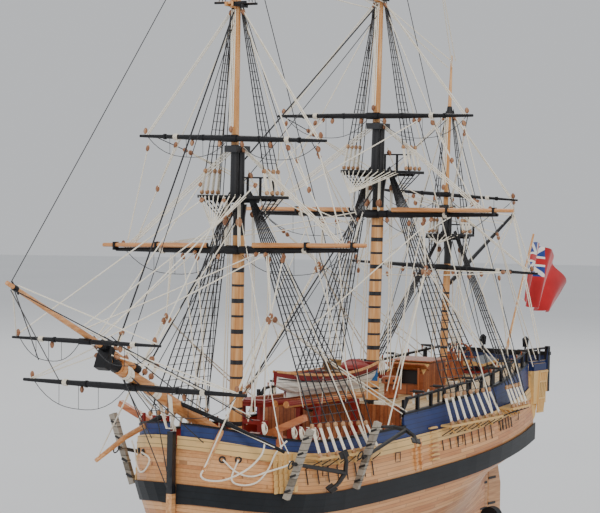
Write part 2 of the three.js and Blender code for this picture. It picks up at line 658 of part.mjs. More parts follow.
function topmast(name) {
  const m = masts[name];
  const axis = (z) => mastPoint(name, z, topmastAhead);
  const parts = [spar(axis(m.top - 2.8), axis(m.cross), m.topmast, m.topmast * 0.78, 12)];
  if (name === 'mizzen') {
    parts.push(spar(axis(m.cross - 1), axis(m.truck), m.topmast * 0.76, 0.7, 10));
    parts.push(spar(axis(m.cross - 3), axis(m.cross + 3), 2.8, 1.9, 10));
    return fuse(parts);
  }
  parts.push(spar(axis(m.cross - 1), axis(m.cap - 0.5), m.topmast * 0.76, m.topmast * 0.66, 12));
  const x = mastX(name, m.cross) + topmastAhead;
  for (const side of [-1, 1]) {
    parts.push(box(x - 8, x + 11, side * 2.8 - 0.8, side * 2.8 + 0.8, m.cross - 3, m.cross));
  }
  for (const dx of [-5, 3.4 + poleAhead]) {
    parts.push(box(x + dx - 0.9, x + dx + 0.9, -13, 13, m.cross - 1.4, m.cross + 0.2));
  }
  const capX = mastX(name, m.cap) + topmastAhead;
  parts.push(box(capX - 3.2, capX + poleAhead + m.pole + 1.8, -3.6, 3.6, m.cap - 3.4, m.cap));
  const ahead = topmastAhead + poleAhead;
  const bores = [
    spar(mastPoint(name, m.cap - 8, ahead), mastPoint(name, m.cap + 4, ahead), m.pole + GAP, m.pole + GAP, 10),
    spar(mastPoint(name, m.cross - 8, ahead), mastPoint(name, m.cross + 4, ahead), m.pole + GAP, m.pole + GAP, 10),
  ];
  return fuse(parts, bores);
}

function topgallantMast(name) {
  const m = masts[name];
  const ahead = topmastAhead + poleAhead;
  return fuse([
    spar(mastPoint(name, m.cross - 4, ahead), mastPoint(name, m.truck - 1.6, ahead), m.pole, 0.8, 10),
    spar(mastPoint(name, m.truck - 2, ahead), mastPoint(name, m.truck, ahead), 1.7, 1.5, 10),
  ]);
}

// Top: platform round at the front, trestle and cross trees below, rail across the back
function topPlatform(name) {
  const m = masts[name];
  const x = mastX(name, m.top);
  const back = x - m.topLength * 0.42;
  const front = x + m.topLength * 0.58;
  const outline = new THREE.Shape();
  outline.moveTo(back, -m.topHalf);
  outline.lineTo(x + 2, -m.topHalf);
  outline.bezierCurveTo(x + m.topLength * 0.4, -m.topHalf, front, -m.topHalf * 0.62, front, 0);
  outline.bezierCurveTo(front, m.topHalf * 0.62, x + m.topLength * 0.4, m.topHalf, x + 2, m.topHalf);
  outline.lineTo(back, m.topHalf);
  const floor = new THREE.ExtrudeGeometry(outline, { depth: 2.2, bevelEnabled: false, curveSegments: 7 });
  floor.translate(0, 0, m.top);
  const parts = [floor];
  const treeY = m.lower * 1.12 + 1.4;
  for (const side of [-1, 1]) {
    const y = side * treeY;
    parts.push(box(x - m.topLength * 0.3, x + m.topLength * 0.42, y - 0.9, y + 0.9, m.top - 3, m.top + 0.4));
  }
  for (const dx of [-m.lower - 4.8, topmastAhead + m.topmast + 2.2]) {
    parts.push(box(x + dx - 1, x + dx + 1, -m.topHalf * 0.84, m.topHalf * 0.84, m.top - 1.8, m.top + 0.4));
  }
  const railZ = m.top + 2.2 + m.topHalf * 0.46;
  const railHalf = m.topHalf > 20 ? m.topHalf * 0.58 : m.topHalf;
  parts.push(box(back, back + 1.4, -railHalf, railHalf, railZ - 1.1, railZ));
  for (let i = 0; i < 4; i++) {
    const y = mix(-railHalf + 0.7, railHalf - 0.7, i / 3);
    parts.push(box(back, back + 1.4, y - 0.7, y + 0.7, m.top + 1, railZ));
  }
  const throat = m.lower * 1.12;
  const hole = box(x - throat - 0.8, x + topmastAhead + m.topmast + 0.7, -throat - 0.4, throat + 0.4,
    m.top - 6, m.top + 5);
  const lubberHoles = [-1, 1].map((side) => {
    const [y0, y1] = [side * (treeY + 0.9), side * (m.lower * 2.1 + 4.5)];
    return box(x - 9, x + 4, Math.min(y0, y1), Math.max(y0, y1), m.top - 0.5, m.top + 3);
  });
  return fuse(parts, [hole, ...lubberHoles]);
}

// Yards
function yardBody(y) {
  const centre = mastPoint(y.mast, y.z, y.ahead);
  const height = (across) => y.z + across * y.cant;
  const tip = (side, t) => point(centre.x, side * y.half * t, height(side * y.half * t));
  const parts = [spar(tip(-1, 0.3), tip(1, 0.3), y.r, y.r, 8)];
  for (const side of [-1, 1]) parts.push(spar(tip(side, 0.3), tip(side, 1), y.r, y.r * 0.48, 8));
  if (y.boomTip) {
    const ironX = centre.x + boomAhead + boomR + 0.4;
    for (const side of [-1, 1]) {
      const at = (dist) => point(centre.x + boomAhead, side * dist, height(side * dist) + boomLift);
      parts.push(spar(at(boomHeel), at(y.boomTip), boomR, boomR * 0.8, 6));
      for (const t of [0.62, 0.985]) {
        const where = side * y.half * t;
        const low = height(where);
        const ironTop = low + boomLift + boomR + 0.4;
        parts.push(box(centre.x + 0.4, ironX, where - 0.8, where + 0.8, low - 0.4, ironTop));
      }
    }
  }
  return fuse(parts);
}

const riseAxis = point(Math.cos(rad(bowsprit.rise)), 0, Math.sin(rad(bowsprit.rise)));

function alongBowsprit(distance, lift = 0) {
  return point(bowsprit.x + riseAxis.x * distance, 0, bowsprit.z + riseAxis.z * distance + lift);
}

function bowspritBody() {
  const capCentre = alongBowsprit(bowsprit.cap, 2.6);
  const cap = new THREE.BoxGeometry(6, 9, 19);
  cap.rotateY(rad(-bowsprit.rise));
  cap.translate(capCentre.x, 0, capCentre.z);
  const bore = spar(alongBowsprit(jibboom.heel - 8, jibboom.lift), alongBowsprit(bowsprit.cap + 12, jibboom.lift),
    jibboom.r + GAP, jibboom.r + GAP, 12);
  const pole = [
    spar(alongBowsprit(bowsprit.heel), alongBowsprit(10), bowsprit.r * 0.9, bowsprit.r, 12),
    spar(alongBowsprit(9.5), alongBowsprit(bowsprit.cap), bowsprit.r, bowsprit.tipR, 12),
  ];
  const saddle = spar(alongBowsprit(64, 0.6), alongBowsprit(68, 0.6), bowsprit.r + 0.4, bowsprit.r + 0.4, 12);
  return fuse([...pole, cap, saddle], [bore]);
}

function headYard(y) {
  const centre = alongBowsprit(y.along, -y.drop);
  const tip = (side, t) => point(centre.x, side * y.half * t, centre.z);
  const parts = [spar(tip(-1, 0.3), tip(1, 0.3), y.r, y.r, 8)];
  for (const side of [-1, 1]) parts.push(spar(tip(side, 0.3), tip(side, 1), y.r, y.r * 0.5, 8));
  return fuse(parts);
}

// One gang of lower shrouds with its channel and deadeyes, port side
function gangBody(g) {
  const m = masts[g.mast];
  const middle = (g.from + g.to) / 2;
  const z = lineHeight(sheer, middle) - 1.5 + g.lift;
  const tilt = (g.follow * (lineHeight(sheer, g.to) - lineHeight(sheer, g.from))) / (g.from - g.to);
  const rim = (x) => halfBreadth(x, lineHeight(sheer, x) - 4) + sheer.proud + 2 * GAP;
  const shelfZ = (x) => z + (middle - x) * tilt;
  const out = Math.max(rim(g.from), rim(g.to)) + g.breadth;
  const shelf = loft([0, 0.17, 0.33, 0.5, 0.67, 0.83, 1].map((t) => {
    const x = mix(g.from + 3, g.to - 3, t);
    const [inner, low] = [rim(x), shelfZ(x) - 0.9];
    return [point(x, inner, low), point(x, out, low), point(x, out, low + 1.8), point(x, inner, low + 1.8)];
  }));
  const parts = [shelf];
  const head = mastPoint(g.mast, m.top + 3.8);
  const headY = m.lower * 1.3 + 1.35;
  for (let i = 0; i < g.lines; i++) {
    const x = mix(g.from, g.to, i / (g.lines - 1));
    const foot = point(x, out - 0.9, shelfZ(x));
    const crown = point(head.x + mix(1.5, -1.5, i / (g.lines - 1)), headY, head.z + 0.25 * i);
    const way = crown.clone().sub(foot).normalize();
    const upper = foot.clone().addScaledVector(way, lanyardRise);
    parts.push(beam(foot, upper, 2.6, 1.8));
    parts.push(spar(upper.clone().addScaledVector(way, -1), crown, shroudR, shroudR * 0.8, 4));
  }
  parts.push(box(head.x - 2.2, head.x + 2.2, m.doubling + 0.4, headY + 0.7, head.z - 1, head.z + 0.25 * g.lines + 0.6));
  return fuse(parts);
}

function anchorBody(stockFoot, stockHead, crown, armsAcross) {
  const middle = stockFoot.clone().add(stockHead).multiplyScalar(0.5);
  const up = stockHead.clone().sub(stockFoot).normalize();
  const shankWay = crown.clone().sub(middle).normalize();
  const armWay = armsAcross ? new THREE.Vector3().crossVectors(shankWay, up).normalize() : up;
  const parts = [
    beam(stockFoot, stockFoot.clone().lerp(stockHead, 0.52), 3.4, 4.4),
    beam(stockFoot.clone().lerp(stockHead, 0.48), stockHead, 4.4, 4.4),
    spar(middle.clone().addScaledVector(shankWay, -6), crown, 1.3, 1.7, 6),
  ];
  for (const side of [-1, 1]) {
    const tip = crown.clone().addScaledVector(armWay, side * 15).addScaledVector(shankWay, -11);
    const elbow = crown.clone().addScaledVector(armWay, side * 9).addScaledVector(shankWay, -3.5);
    parts.push(spar(crown, elbow, 1.8, 1.5, 6), spar(elbow, tip, 1.5, 0.9, 6));
    const blade = beam(elbow.clone().lerp(tip, 0.35), tip, 6.4, 1.2);
    parts.push(blade);
  }
  return fuse(parts);
}

function stay(name, from, to) {
  piece(name, spar(from, to, stayR, stayR, 8), finish.line());
}

function cradleBody() {
  const parts = [];
  for (const [x, reach] of [[96, 50], [-122, 56]]) {
    const tipZ = -keelHeight + 49;
    for (const side of [-1, 1]) {
      const arm = new THREE.Shape();
      arm.moveTo(0, -keelHeight);
      arm.lineTo(side * 46, -keelHeight);
      arm.lineTo(side * (reach + 13), tipZ - 4);
      arm.absarc(side * (reach + 5), tipZ - 2, 8.2, side > 0 ? 0 : Math.PI, side > 0 ? Math.PI : 0, side < 0);
      arm.lineTo(side * (reach - 18), -12);
      arm.lineTo(0, -8);
      const geometry = new THREE.ExtrudeGeometry(arm, { depth: 8, bevelEnabled: false, curveSegments: 10 });
      geometry.applyMatrix4(new THREE.Matrix4().makeBasis(point(0, 1, 0), point(0, 0, 1), point(1, 0, 0)));
      geometry.translate(x - 4, 0, 0);
      parts.push(geometry);
    }
    parts.push(box(x - 4, x + 4, -9, 9, -keelHeight, -GAP));
  }
  for (const side of [-1, 1]) {
    parts.push(box(-120, 94, side * 30 - 4, side * 30 + 4, -keelHeight, -keelHeight + 8));
  }
  const clearance = loft(stations.filter((x) => x < 140 && x > -170).map((x) => {
    const grow = 0.6;
    return frameRing(x, deckHeight(x)).map((p) => point(p.x, p.y + Math.sign(p.y) * grow, p.z - grow));
  }));
  return fuse(parts, [clearance, box(-140, 120, -keelHalf - 0.5, keelHalf + 0.5, -GAP, 8)]);
}

function ensignBody() {
  const outline = [[-311.5 - 1.8, 237.5], [-303.5, 187], [-318, 182], [-334, 178], [-352, 174], [flyEnd, 199],
    [-377, 212], [-366, 220], [-345, 232], [-330, 238]];
  const sheet = plate(outline, -1.4, 1.4);
  sheet.translate(-2.2, 0, 0);
  return sheet;
}

// Hull and everything fixed to it
piece('cradle', cradleBody(), finish.black());
piece('hull', hullBody(), finish.planking());
piece('backbone', backbone(), finish.keel());
const [walePort, waleStarboard] = strake(wale, wale.depth, wale.proud);
const [sheerPort, sheerStarboard] = strake(sheer, sheer.depth, sheer.proud);
piece('main_wale_port', walePort, finish.black());
piece('main_wale_starboard', waleStarboard, finish.black());
piece('sheer_strake_port', sheerPort, finish.yellow());
piece('sheer_strake_starboard', sheerStarboard, finish.yellow());
const portBulwark = bulwark();
piece('bulwark_port', portBulwark, finish.blue());
piece('bulwark_starboard', mirrored(weld(portBulwark)), finish.blue());
piece('main_deck', mainDeck(), finish.deck());
piece('quarterdeck', quarterdeckBody(), finish.deck());
piece('transom', transomBody(), finish.yellow());
piece('rudder', rudderBody(), finish.keel());

// Deck pieces
const wheelMesh = piece('steering_wheel', wheelBody(), finish.brown());
wheelMesh.position.set(wheel.x, 0, quarterdeckHeight(wheel.x) + wheel.height);
piece('wheel_stand', wheelStand(), finish.red());
const capstanMesh = piece('capstan', capstanBody(), finish.brown());
capstanMesh.position.set(capstan.x, 0, quarterdeckHeight(capstan.x) + 0.6);
const windlassMesh = piece('windlass', windlassBody(), finish.brown());
windlassMesh.position.set(windlass.x, 0, deckHeight(windlass.x) + windlass.height);
piece('companion', companionBody(), finish.brown());
piece('skylight', skylightBody(), finish.red());
piece('boat', boatBody(), finish.white());
piece('spare_spars', spareSparStack(), finish.spar());

// Masts, tops and yards
for (const name of ['fore', 'main', 'mizzen']) {
  piece(`${name}_lower_mast`, lowerMast(name), finish.spar());
  piece(`${name}_topmast`, topmast(name), finish.spar());
  piece(`${name}_top`, topPlatform(name), finish.black());
}
piece('fore_topgallant_mast', topgallantMast('fore'), finish.spar());
piece('main_topgallant_mast', topgallantMast('main'), finish.spar());
piece('bowsprit', bowspritBody(), finish.spar());
piece('jibboom', spar(alongBowsprit(jibboom.heel, jibboom.lift), alongBowsprit(jibboom.tip, jibboom.lift),
  jibboom.r, jibboom.r * 0.66, 12), finish.spar());
for (const y of headYards) piece(y.name, headYard(y), finish.black());
for (const y of yards) piece(y.name, yardBody(y), finish.black());
const [jaw, peak] = [point(gaff.jawX, 0, gaff.jawZ), point(gaff.peakX, 0, gaff.peakZ)];
piece('gaff', spar(jaw, peak, gaff.r, gaff.r * 0.7, 10), finish.black());
const [staffFoot, staffHead] = [point(staff.baseX, 0, staff.baseZ), point(staff.topX, 0, staff.topZ)];
piece('ensign_staff', spar(staffFoot, staffHead, staff.r, staff.r * 0.7, 10), finish.spar());
piece('ensign', ensignBody(), finish.cloth());

// Anchors, shrouds and stays
const bower = anchorBody(point(196.9, 64, 69.5), point(196.9, 82.5, 118), point(146, 80.5, 84), false);
piece('port_bower_anchor', bower, finish.grey());
piece('starboard_bower_anchor', mirrored(weld(bower)), finish.grey());
const sheetAnchor = anchorBody(point(118.4, 73.5, 69.7), point(118.4, 90.3, 117.8), point(62, 82, 107), true);
piece('port_sheet_anchor', sheetAnchor, finish.grey());
for (const g of gangs) {
  const port = weld(gangBody(g));
  piece(`${g.mast}_shrouds_port`, port, finish.line());
  piece(`${g.mast}_shrouds_starboard`, mirrored(port), finish.line());
}
stay('fore_stay', mastPoint('fore', 264, 6.2), alongBowsprit(38, 5.8));
stay('fore_topmast_stay', mastPoint('fore', 405, topmastAhead + 3.4), alongBowsprit(72, 10.4));
stay('main_stay', mastPoint('main', 284, 6.8), point(157.8, 0, 130));
stay('main_topmast_stay', mastPoint('main', 426, topmastAhead + 3.6), point(158.6, 0, 300));

// The origin is the middle of the model's footprint, on the surface that the cradle stands on
const extent = new THREE.Box3().setFromObject(ship);
ship.position.set(-(extent.min.x + extent.max.x) / 2, -(extent.min.y + extent.max.y) / 2, keelHeight);
const part = new THREE.Group();
part.add(ship);

export default part;
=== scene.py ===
"""Display model of a three-masted bark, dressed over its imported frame.

Lengths are in ship millimetres until spot() turns them into metres in the frame:
x forward from midships, y to port, z up from the keel's underside.
"""
import math

import bpy
from mathutils import Euler, Matrix, Vector


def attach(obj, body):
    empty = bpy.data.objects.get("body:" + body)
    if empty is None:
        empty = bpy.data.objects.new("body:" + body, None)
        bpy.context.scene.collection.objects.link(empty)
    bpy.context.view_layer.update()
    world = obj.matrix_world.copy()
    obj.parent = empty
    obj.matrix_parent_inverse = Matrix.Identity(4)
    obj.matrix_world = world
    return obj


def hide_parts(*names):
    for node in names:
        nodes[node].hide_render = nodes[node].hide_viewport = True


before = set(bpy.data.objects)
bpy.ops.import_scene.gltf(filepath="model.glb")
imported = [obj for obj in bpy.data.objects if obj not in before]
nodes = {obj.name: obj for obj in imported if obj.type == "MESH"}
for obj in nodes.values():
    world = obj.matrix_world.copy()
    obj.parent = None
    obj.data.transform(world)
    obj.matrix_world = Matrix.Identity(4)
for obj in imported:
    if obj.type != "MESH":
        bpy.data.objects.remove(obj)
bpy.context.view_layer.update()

MM = 0.001
MIDSHIPS = 16.925
CRADLE = 26.0

# Lines of the hull: half breadth, height at the low point, rise at the bow and rise at the stern
WALE = dict(half=69.4, mid=69.1, bow=10.2, stern=19.4)
SHEER = dict(half=66.4, mid=96.3, bow=15.8, stern=21.9)
LOW_POINT = 133.6
BOW_RUN = 239.0 - LOW_POINT
STERN_RUN = 368.0
STEM, STERN, FOREFOOT = 238.0, -227.0, 196.0
TUCK_DROP = 14.4
BREAK_X = 34.0
RAIL_GAP = 10.6

# Masts: place and rake; heights of the top, the lower masthead, the crosstrees, the cap and the truck;
# radii of the lower mast and the topmast; half breadth and length of the top
MASTS = {
    "fore": dict(x=163.3, rake=0.0, top=273.0, head=310.0, cross=410.0, cap=438.0, truck=532.0,
                 lower=4.9, topmast=3.0, half=29.0, length=46.0),
    "main": dict(x=-30.6, rake=1.6, top=294.5, head=333.5, cross=432.0, cap=462.0, truck=568.0,
                 lower=5.3, topmast=3.2, half=29.5, length=46.0),
    "mizzen": dict(x=-148.4, rake=2.5, top=244.7, head=270.5, cross=349.0, truck=394.0,
                   lower=3.3, topmast=2.2, half=17.5, length=31.0),
}
MAST_PARTNERS = 109.0
TOPMAST_AHEAD = 7.0
POLE_AHEAD = 12.6

# Yards: mast, height, half length, radius, distance ahead of the mast
YARDS = {
    "fore_yard": ("fore", 236.9, 101.0, 2.7, 7.6),
    "fore_topsail_yard": ("fore", 315.0, 78.0, 2.1, 12.4),
    "fore_topgallant_yard": ("fore", 447.0, 49.0, 1.5, 16.6),
    "main_yard": ("main", 262.9, 108.5, 2.8, 8.1),
    "main_topsail_yard": ("main", 339.0, 87.0, 2.2, 12.8),
    "main_topgallant_yard": ("main", 472.0, 54.0, 1.6, 16.8),
    "crossjack_yard": ("mizzen", 219.5, 87.0, 1.9, 9.4),
    "mizzen_topsail_yard": ("mizzen", 279.3, 67.5, 1.6, 11.4),
}
# Slope of a yard that isn't level, rising to port
CANTS = {"fore_yard": 0.024, "fore_topsail_yard": -0.02, "main_yard": 0.012,
         "crossjack_yard": -0.03, "mizzen_topsail_yard": -0.055}
COURSES = ("fore_yard", "main_yard")
# The two yards under the bowsprit: distance along it, half length, radius and lift
HEAD_YARDS = ((52, 90.0, 2.2, -7.1), (108, 59.0, 1.6, 2.8))

# Shroud gangs: channel's ends, lines, channel's breadth, its lift and its share of the sheer's slope
GANGS = {
    "fore": (172.0, 90.0, 8, 8.5, 0.0, 1.0),
    "main": (-22.0, -104.0, 8, 9.0, 2.5, 0.3),
    "mizzen": (-127.0, -153.0, 5, 12.5, 2.0, 0.4),
}
# How far the upper deadeyes stand from the channels
LANYARDS = {"fore": 23.0, "main": 23.5, "mizzen": 18.5}
RATLINE_STEP = 5.8
BOAT_Y, BOAT_KEEL, BOAT_STERN, BOAT_LENGTH = 15.6, 130.5, 7.0, 132.0
BOWSPRIT = dict(x=241.6, z=133.8, rise=math.radians(23.8))


def mix(a, b, t):
    return a + (b - a) * t


def between(a, b, t):
    return tuple(mix(p, q, t) for p, q in zip(a, b))


def clamp(t):
    return min(1.0, max(0.0, t))


def level(z):
    return (z + CRADLE) * MM


def spot(x, y, z):
    return Vector(((x - MIDSHIPS) * MM, y * MM, level(z)))


def flip(place, side):
    return (place[0], side * place[1], place[2])


def line_height(line, x):
    forward = clamp((x - LOW_POINT) / BOW_RUN)
    aft = max(0.0, (LOW_POINT - x) / STERN_RUN)
    return line["mid"] + line["bow"] * forward**2 + line["stern"] * aft**2


def sheer_z(x):
    return line_height(SHEER, x)


def half_breadth(x, z):
    """Half the hull's breadth, by the same lines as the part's own hull."""
    low = 5.0 + 40.0 * clamp((x - FOREFOOT) / 42.0) ** 2.4
    wale_z = line_height(WALE, x)
    s = clamp((z - low) / (wale_z - low))
    above = clamp((z - wale_z) / (sheer_z(x) - wale_z))
    rounding = (1 - (1 - s) ** 2.7) ** (1 / 2.4)
    widest = mix(WALE["half"], SHEER["half"], above) - 0.1 * max(0.0, z - sheer_z(x))
    entry = mix(10.0, 100.0, s)
    u = clamp((x - entry) / (STEM - entry))
    bow = (1 - u ** mix(2.3, 3.3, s)) ** (1 / mix(1.5, 2.2, s))
    turn = mix(46.0, -62.0, s)
    v = max(0.0, (turn - x) / (turn - STERN))
    tuck = clamp((z - low) / (wale_z - TUCK_DROP - low))
    close = 1 - 0.68 * tuck**9 if tuck < 1 else mix(0.32, 0.37, above)
    aft = max(0.0, 1 - close * min(v, 1.15) ** mix(1.6, 2.1, s))
    return max(2.3, widest * rounding * bow * aft)


def skin(x, z, side, out):
    """A place that stands off the hull's side."""
    slope_x = half_breadth(x + 0.5, z) - half_breadth(x - 0.5, z)
    slope_z = half_breadth(x, z + 0.5) - half_breadth(x, z - 0.5)
    way = Vector((-slope_x, 1.0, -slope_z)).normalized() * out
    return (x + way.x, side * (half_breadth(x, z) + way.y), z + way.z)


def deck_z(x):
    return sheer_z(x) - 7.8


def quarterdeck_z(x):
    return sheer_z(x) + 14.0


def bulwark_z(x):
    if x > BREAK_X:
        return sheer_z(x) + 7.8
    return sheer_z(x) + mix(17.0, 20.6, (BREAK_X - x) / (BREAK_X - STERN))


def mast_at(name, z, ahead=0.0, y=0.0):
    m = MASTS[name]
    return (m["x"] - math.tan(math.radians(m["rake"])) * (z - MAST_PARTNERS) + ahead, y, z)


def on_bowsprit(along, lift=0.0, y=0.0):
    rise = BOWSPRIT["rise"]
    return (BOWSPRIT["x"] + math.cos(rise) * along, y, BOWSPRIT["z"] + math.sin(rise) * along + lift)


def yard_at(name, side, t, lift=0.0):
    mast, z, half, _, ahead = YARDS[name]
    x = mast_at(mast, z, ahead)[0]
    return (x, side * half * t, z + side * half * t * CANTS.get(name, 0.0) + lift)


# Shader parts

def tone(text):
    """Linear colour from six hex digits."""
    parts = [int(text[i : i + 2], 16) / 255 for i in (0, 2, 4)]
    return tuple(c / 12.92 if c <= 0.04045 else ((c + 0.055) / 1.055) ** 2.4 for c in parts)


class Value:
    """A number in a finish's pattern; its methods are the sums that a shader can do."""

    def __init__(self, finish, socket):
        self.finish = finish
        self.socket = socket

    def __rsub__(self, other):
        return self.finish.sum("SUBTRACT", other, self)


def shader_sum(operation):
    return lambda value, *others: value.finish.sum(operation, value, *others)


for method, operation in (
        ("__add__", "ADD"), ("__sub__", "SUBTRACT"), ("__mul__", "MULTIPLY"), ("__truediv__", "DIVIDE"),
        ("__abs__", "ABSOLUTE"), ("floor", "FLOOR"), ("part", "FRACT"), ("least", "MINIMUM"),
        ("most", "MAXIMUM"), ("under", "LESS_THAN"), ("over", "GREATER_THAN")):
    setattr(Value, method, shader_sum(operation))


class Finish:
    """One finish: its shader, and the pattern that feeds it."""

    def __init__(self, name, rough=0.5, sheen=0.0, coat=0.0):
        self.material = bpy.data.materials.new(name)
        self.material.use_nodes = True
        self.tree = self.material.node_tree
        self.shader = self.tree.nodes["Principled BSDF"]
        for key, value in (("Roughness", rough), ("Sheen Weight", sheen), ("Coat Weight", coat),
                           ("Coat Roughness", 0.25)):
            self.shader.inputs[key].default_value = value
        self.place = self.add("ShaderNodeTexCoord").outputs["Object"]

    def add(self, kind, **values):
        made = self.tree.nodes.new(kind)
        for key, value in values.items():
            setattr(made, key, value)
        return made

    def feed(self, socket, value):
        if isinstance(value, Value):
            value = value.socket
        if isinstance(value, bpy.types.NodeSocket):
            self.tree.links.new(value, socket)
        else:
            socket.default_value = value

    def sum(self, operation, *values, clamped=False):
        made = self.add("ShaderNodeMath", operation=operation, use_clamp=clamped)
        for socket, value in zip(made.inputs, values):
            self.feed(socket, value)
        return Value(self, made.outputs[0])

    def axes(self, where=None):
        split = self.add("ShaderNodeSeparateXYZ")
        self.feed(split.inputs[0], where or self.place)
        return [Value(self, out) for out in split.outputs]

    def noise(self, scale, stretch=(1, 1, 1), detail=3.0, rough=0.55):
        mapping = self.add("ShaderNodeMapping")
        self.feed(mapping.inputs["Vector"], self.place)
        mapping.inputs["Scale"].default_value = stretch
        made = self.add("ShaderNodeTexNoise")
        self.feed(made.inputs["Vector"], mapping.outputs[0])
        for key, value in (("Scale", scale), ("Detail", detail), ("Roughness", rough)):
            made.inputs[key].default_value = value
        return Value(self, made.outputs["Fac"])

    def chance(self, a, b):
        """A number that is the same wherever a and b are."""
        pair = self.add("ShaderNodeCombineXYZ")
        self.feed(pair.inputs[0], a)
        self.feed(pair.inputs[1], b)
        made = self.add("ShaderNodeTexWhiteNoise", noise_dimensions="2D")
        self.feed(made.inputs["Vector"], pair.outputs[0])
        return Value(self, made.outputs["Value"])

    def ramp(self, value, places, colours):
        made = self.add("ShaderNodeValToRGB")
        self.feed(made.inputs[0], value)
        band = made.color_ramp
        while len(band.elements) < len(places):
            band.elements.new(0.5)
        for element, at, colour in zip(band.elements, places, colours):
            element.position = at
            element.color = (*tone(colour), 1.0)
        return made.outputs[0]

    def blend(self, amount, a, b, mode="MIX"):
        made = self.add("ShaderNodeMix", data_type="RGBA", blend_type=mode)
        self.feed(made.inputs["Factor"], amount)
        for key, value in (("A", a), ("B", b)):
            self.feed(made.inputs[key], (*tone(value), 1.0) if isinstance(value, str) else value)
        return made.outputs["Result"]

    def bump(self, height, strength, depth=0.0003):
        made = self.add("ShaderNodeBump")
        made.inputs["Strength"].default_value = strength
        made.inputs["Distance"].default_value = depth
        self.feed(made.inputs["Height"], height)
        self.feed(self.shader.inputs["Normal"], made.outputs[0])

    def colour(self, value):
        self.feed(self.shader.inputs["Base Color"], value)
        return self.material


def stretched(axis, by):
    """Scales that draw a pattern out along one axis."""
    return [1.0 if name == axis else by for name in "xyz"]


def sheer_offset(finish):
    """Height above the wale's line, so that a pattern follows the hull's sheer."""
    x, _, z = finish.axes()
    along = x - (LOW_POINT - MIDSHIPS) * MM
    aft = (along * -1.0).most(0.0) / (STERN_RUN * MM)
    forward = finish.sum("DIVIDE", along, BOW_RUN * MM, clamped=True)
    rise = aft * aft * (WALE["stern"] * MM) + forward * forward * (WALE["bow"] * MM)
    return z - level(WALE["mid"]) - rise


def planked(name, tones, seam, width, across="sheer", length=70.0, rough=0.45, seam_depth=0.75, coat=0.0):
    """Planks laid edge to edge, each with its own tone, grain and butt joints."""
    finish = Finish(name, rough, coat=coat)
    x, y, z = finish.axes()
    height = sheer_offset(finish) if across == "sheer" else {"x": x, "y": y, "z": z}[across]
    rows = height / (width * MM)
    row, inside = rows.floor(), rows.part()
    gap = inside.least(1.0 - inside).under(0.07)
    run_axis = "y" if across == "x" else "x"
    runs = (y if across == "x" else x) / (length * MM) + finish.chance(row, 3.7)
    seams = gap.most(runs.part().under(0.012))
    grain = finish.noise(38.0, stretched(run_axis, 14.0), detail=5.0)
    tint = finish.chance(row, runs.floor()) * 0.5 + grain * 0.5
    wood = finish.ramp(tint, (0.22, 0.5, 0.78), tones)
    worn = finish.blend(finish.noise(11.0) * 0.35, wood, tones[0], "MULTIPLY")
    finish.bump(grain * 0.25 - seams, 0.35)
    return finish.colour(finish.blend(seams * seam_depth, worn, seam))


def painted(name, colour, worn, rough=0.45, width=None, across="sheer", amount=0.5, above=None):
    """Brushed paint with rubbed places.

    Seams lie width apart, and above is a height with the colour over it.
    """
    finish = Finish(name, rough)
    z = finish.axes()[2]
    patches = finish.noise(23.0, detail=5.0, rough=0.7)
    rubbed = finish.sum("MULTIPLY", patches * patches, amount * 2.0, clamped=True)
    shade = finish.blend(rubbed, colour, worn)
    height = finish.noise(60.0, stretched("x", 6.0), detail=4.0) * 0.5
    if width:
        rows = (sheer_offset(finish) if across == "sheer" else z) / (width * MM)
        gap = rows.part().under(0.12)
        shade = finish.blend(gap * 0.55, shade, "08090c")
        height = height - gap
    if above:
        shade = finish.blend(z.over(level(above[0])), shade, above[1])
    finish.bump(height, 0.3)
    return finish.colour(shade)


def turned_wood(name, tones, axis="z", rough=0.4, bands=None, black_above=None, black_below=None):
    """Straight-grained spar wood. bands are (first height, last height, pitch, thick part, thin part)."""
    finish = Finish(name, rough, coat=0.15)
    z = finish.axes()[2]
    grain = finish.noise(30.0, stretched(axis, 16.0), detail=6.0)
    tint = grain * 0.75 + finish.noise(9.0, detail=2.0) * 0.25
    shade = finish.ramp(tint, (0.3, 0.5, 0.68), tones)
    height = grain * 0.4
    if bands:
        low, high, pitch, thick, thin = bands
        phase = ((z - level(low)) / (pitch * MM)).part()
        middle = finish.sum("COMPARE", phase, 0.5 + thick / pitch / 2, thin / pitch / 2)
        mask = phase.under(thick / pitch).most(middle) * z.under(level(high))
        shade = finish.blend(mask, shade, "15141a")
        height = height + mask
    if black_above:
        shade = finish.blend(z.over(level(black_above)), shade, SPAR_BLACK)
    if black_below:
        shade = finish.blend(z.under(level(black_below)), shade, SPAR_BLACK)
    finish.bump(height, 0.3)
    return finish.colour(shade)


def twisted(name, light, dark):
    """Laid thread: slanted strands, with a little fuzz."""
    finish = Finish(name, rough=0.85, sheen=0.25)
    x, y, z = finish.axes()
    strand = ((x + y + z) / 0.0011).part()
    fuzz = finish.noise(900.0, detail=2.0)
    finish.bump(strand, 0.4, 0.0002)
    return finish.colour(finish.ramp(strand * 0.5 + fuzz * 0.5, (0.25, 0.75), (dark, light)))


def set_shader(material, key, value):
    material.node_tree.nodes["Principled BSDF"].inputs[key].default_value = value


SPAR_BLACK = "17171b"
SPAR_TONES = ("b5743d", "d79a5c", "efc08a")
BOOM_TONES = ("b06c38", "d4935a", "ecb883")
BOARD_TONES = ("8a4522", "b0653a", "c98455")
BOARD_SEAM = "3c1a0c"
CREAM_PAINT = ("e9c17f", "c6934e")

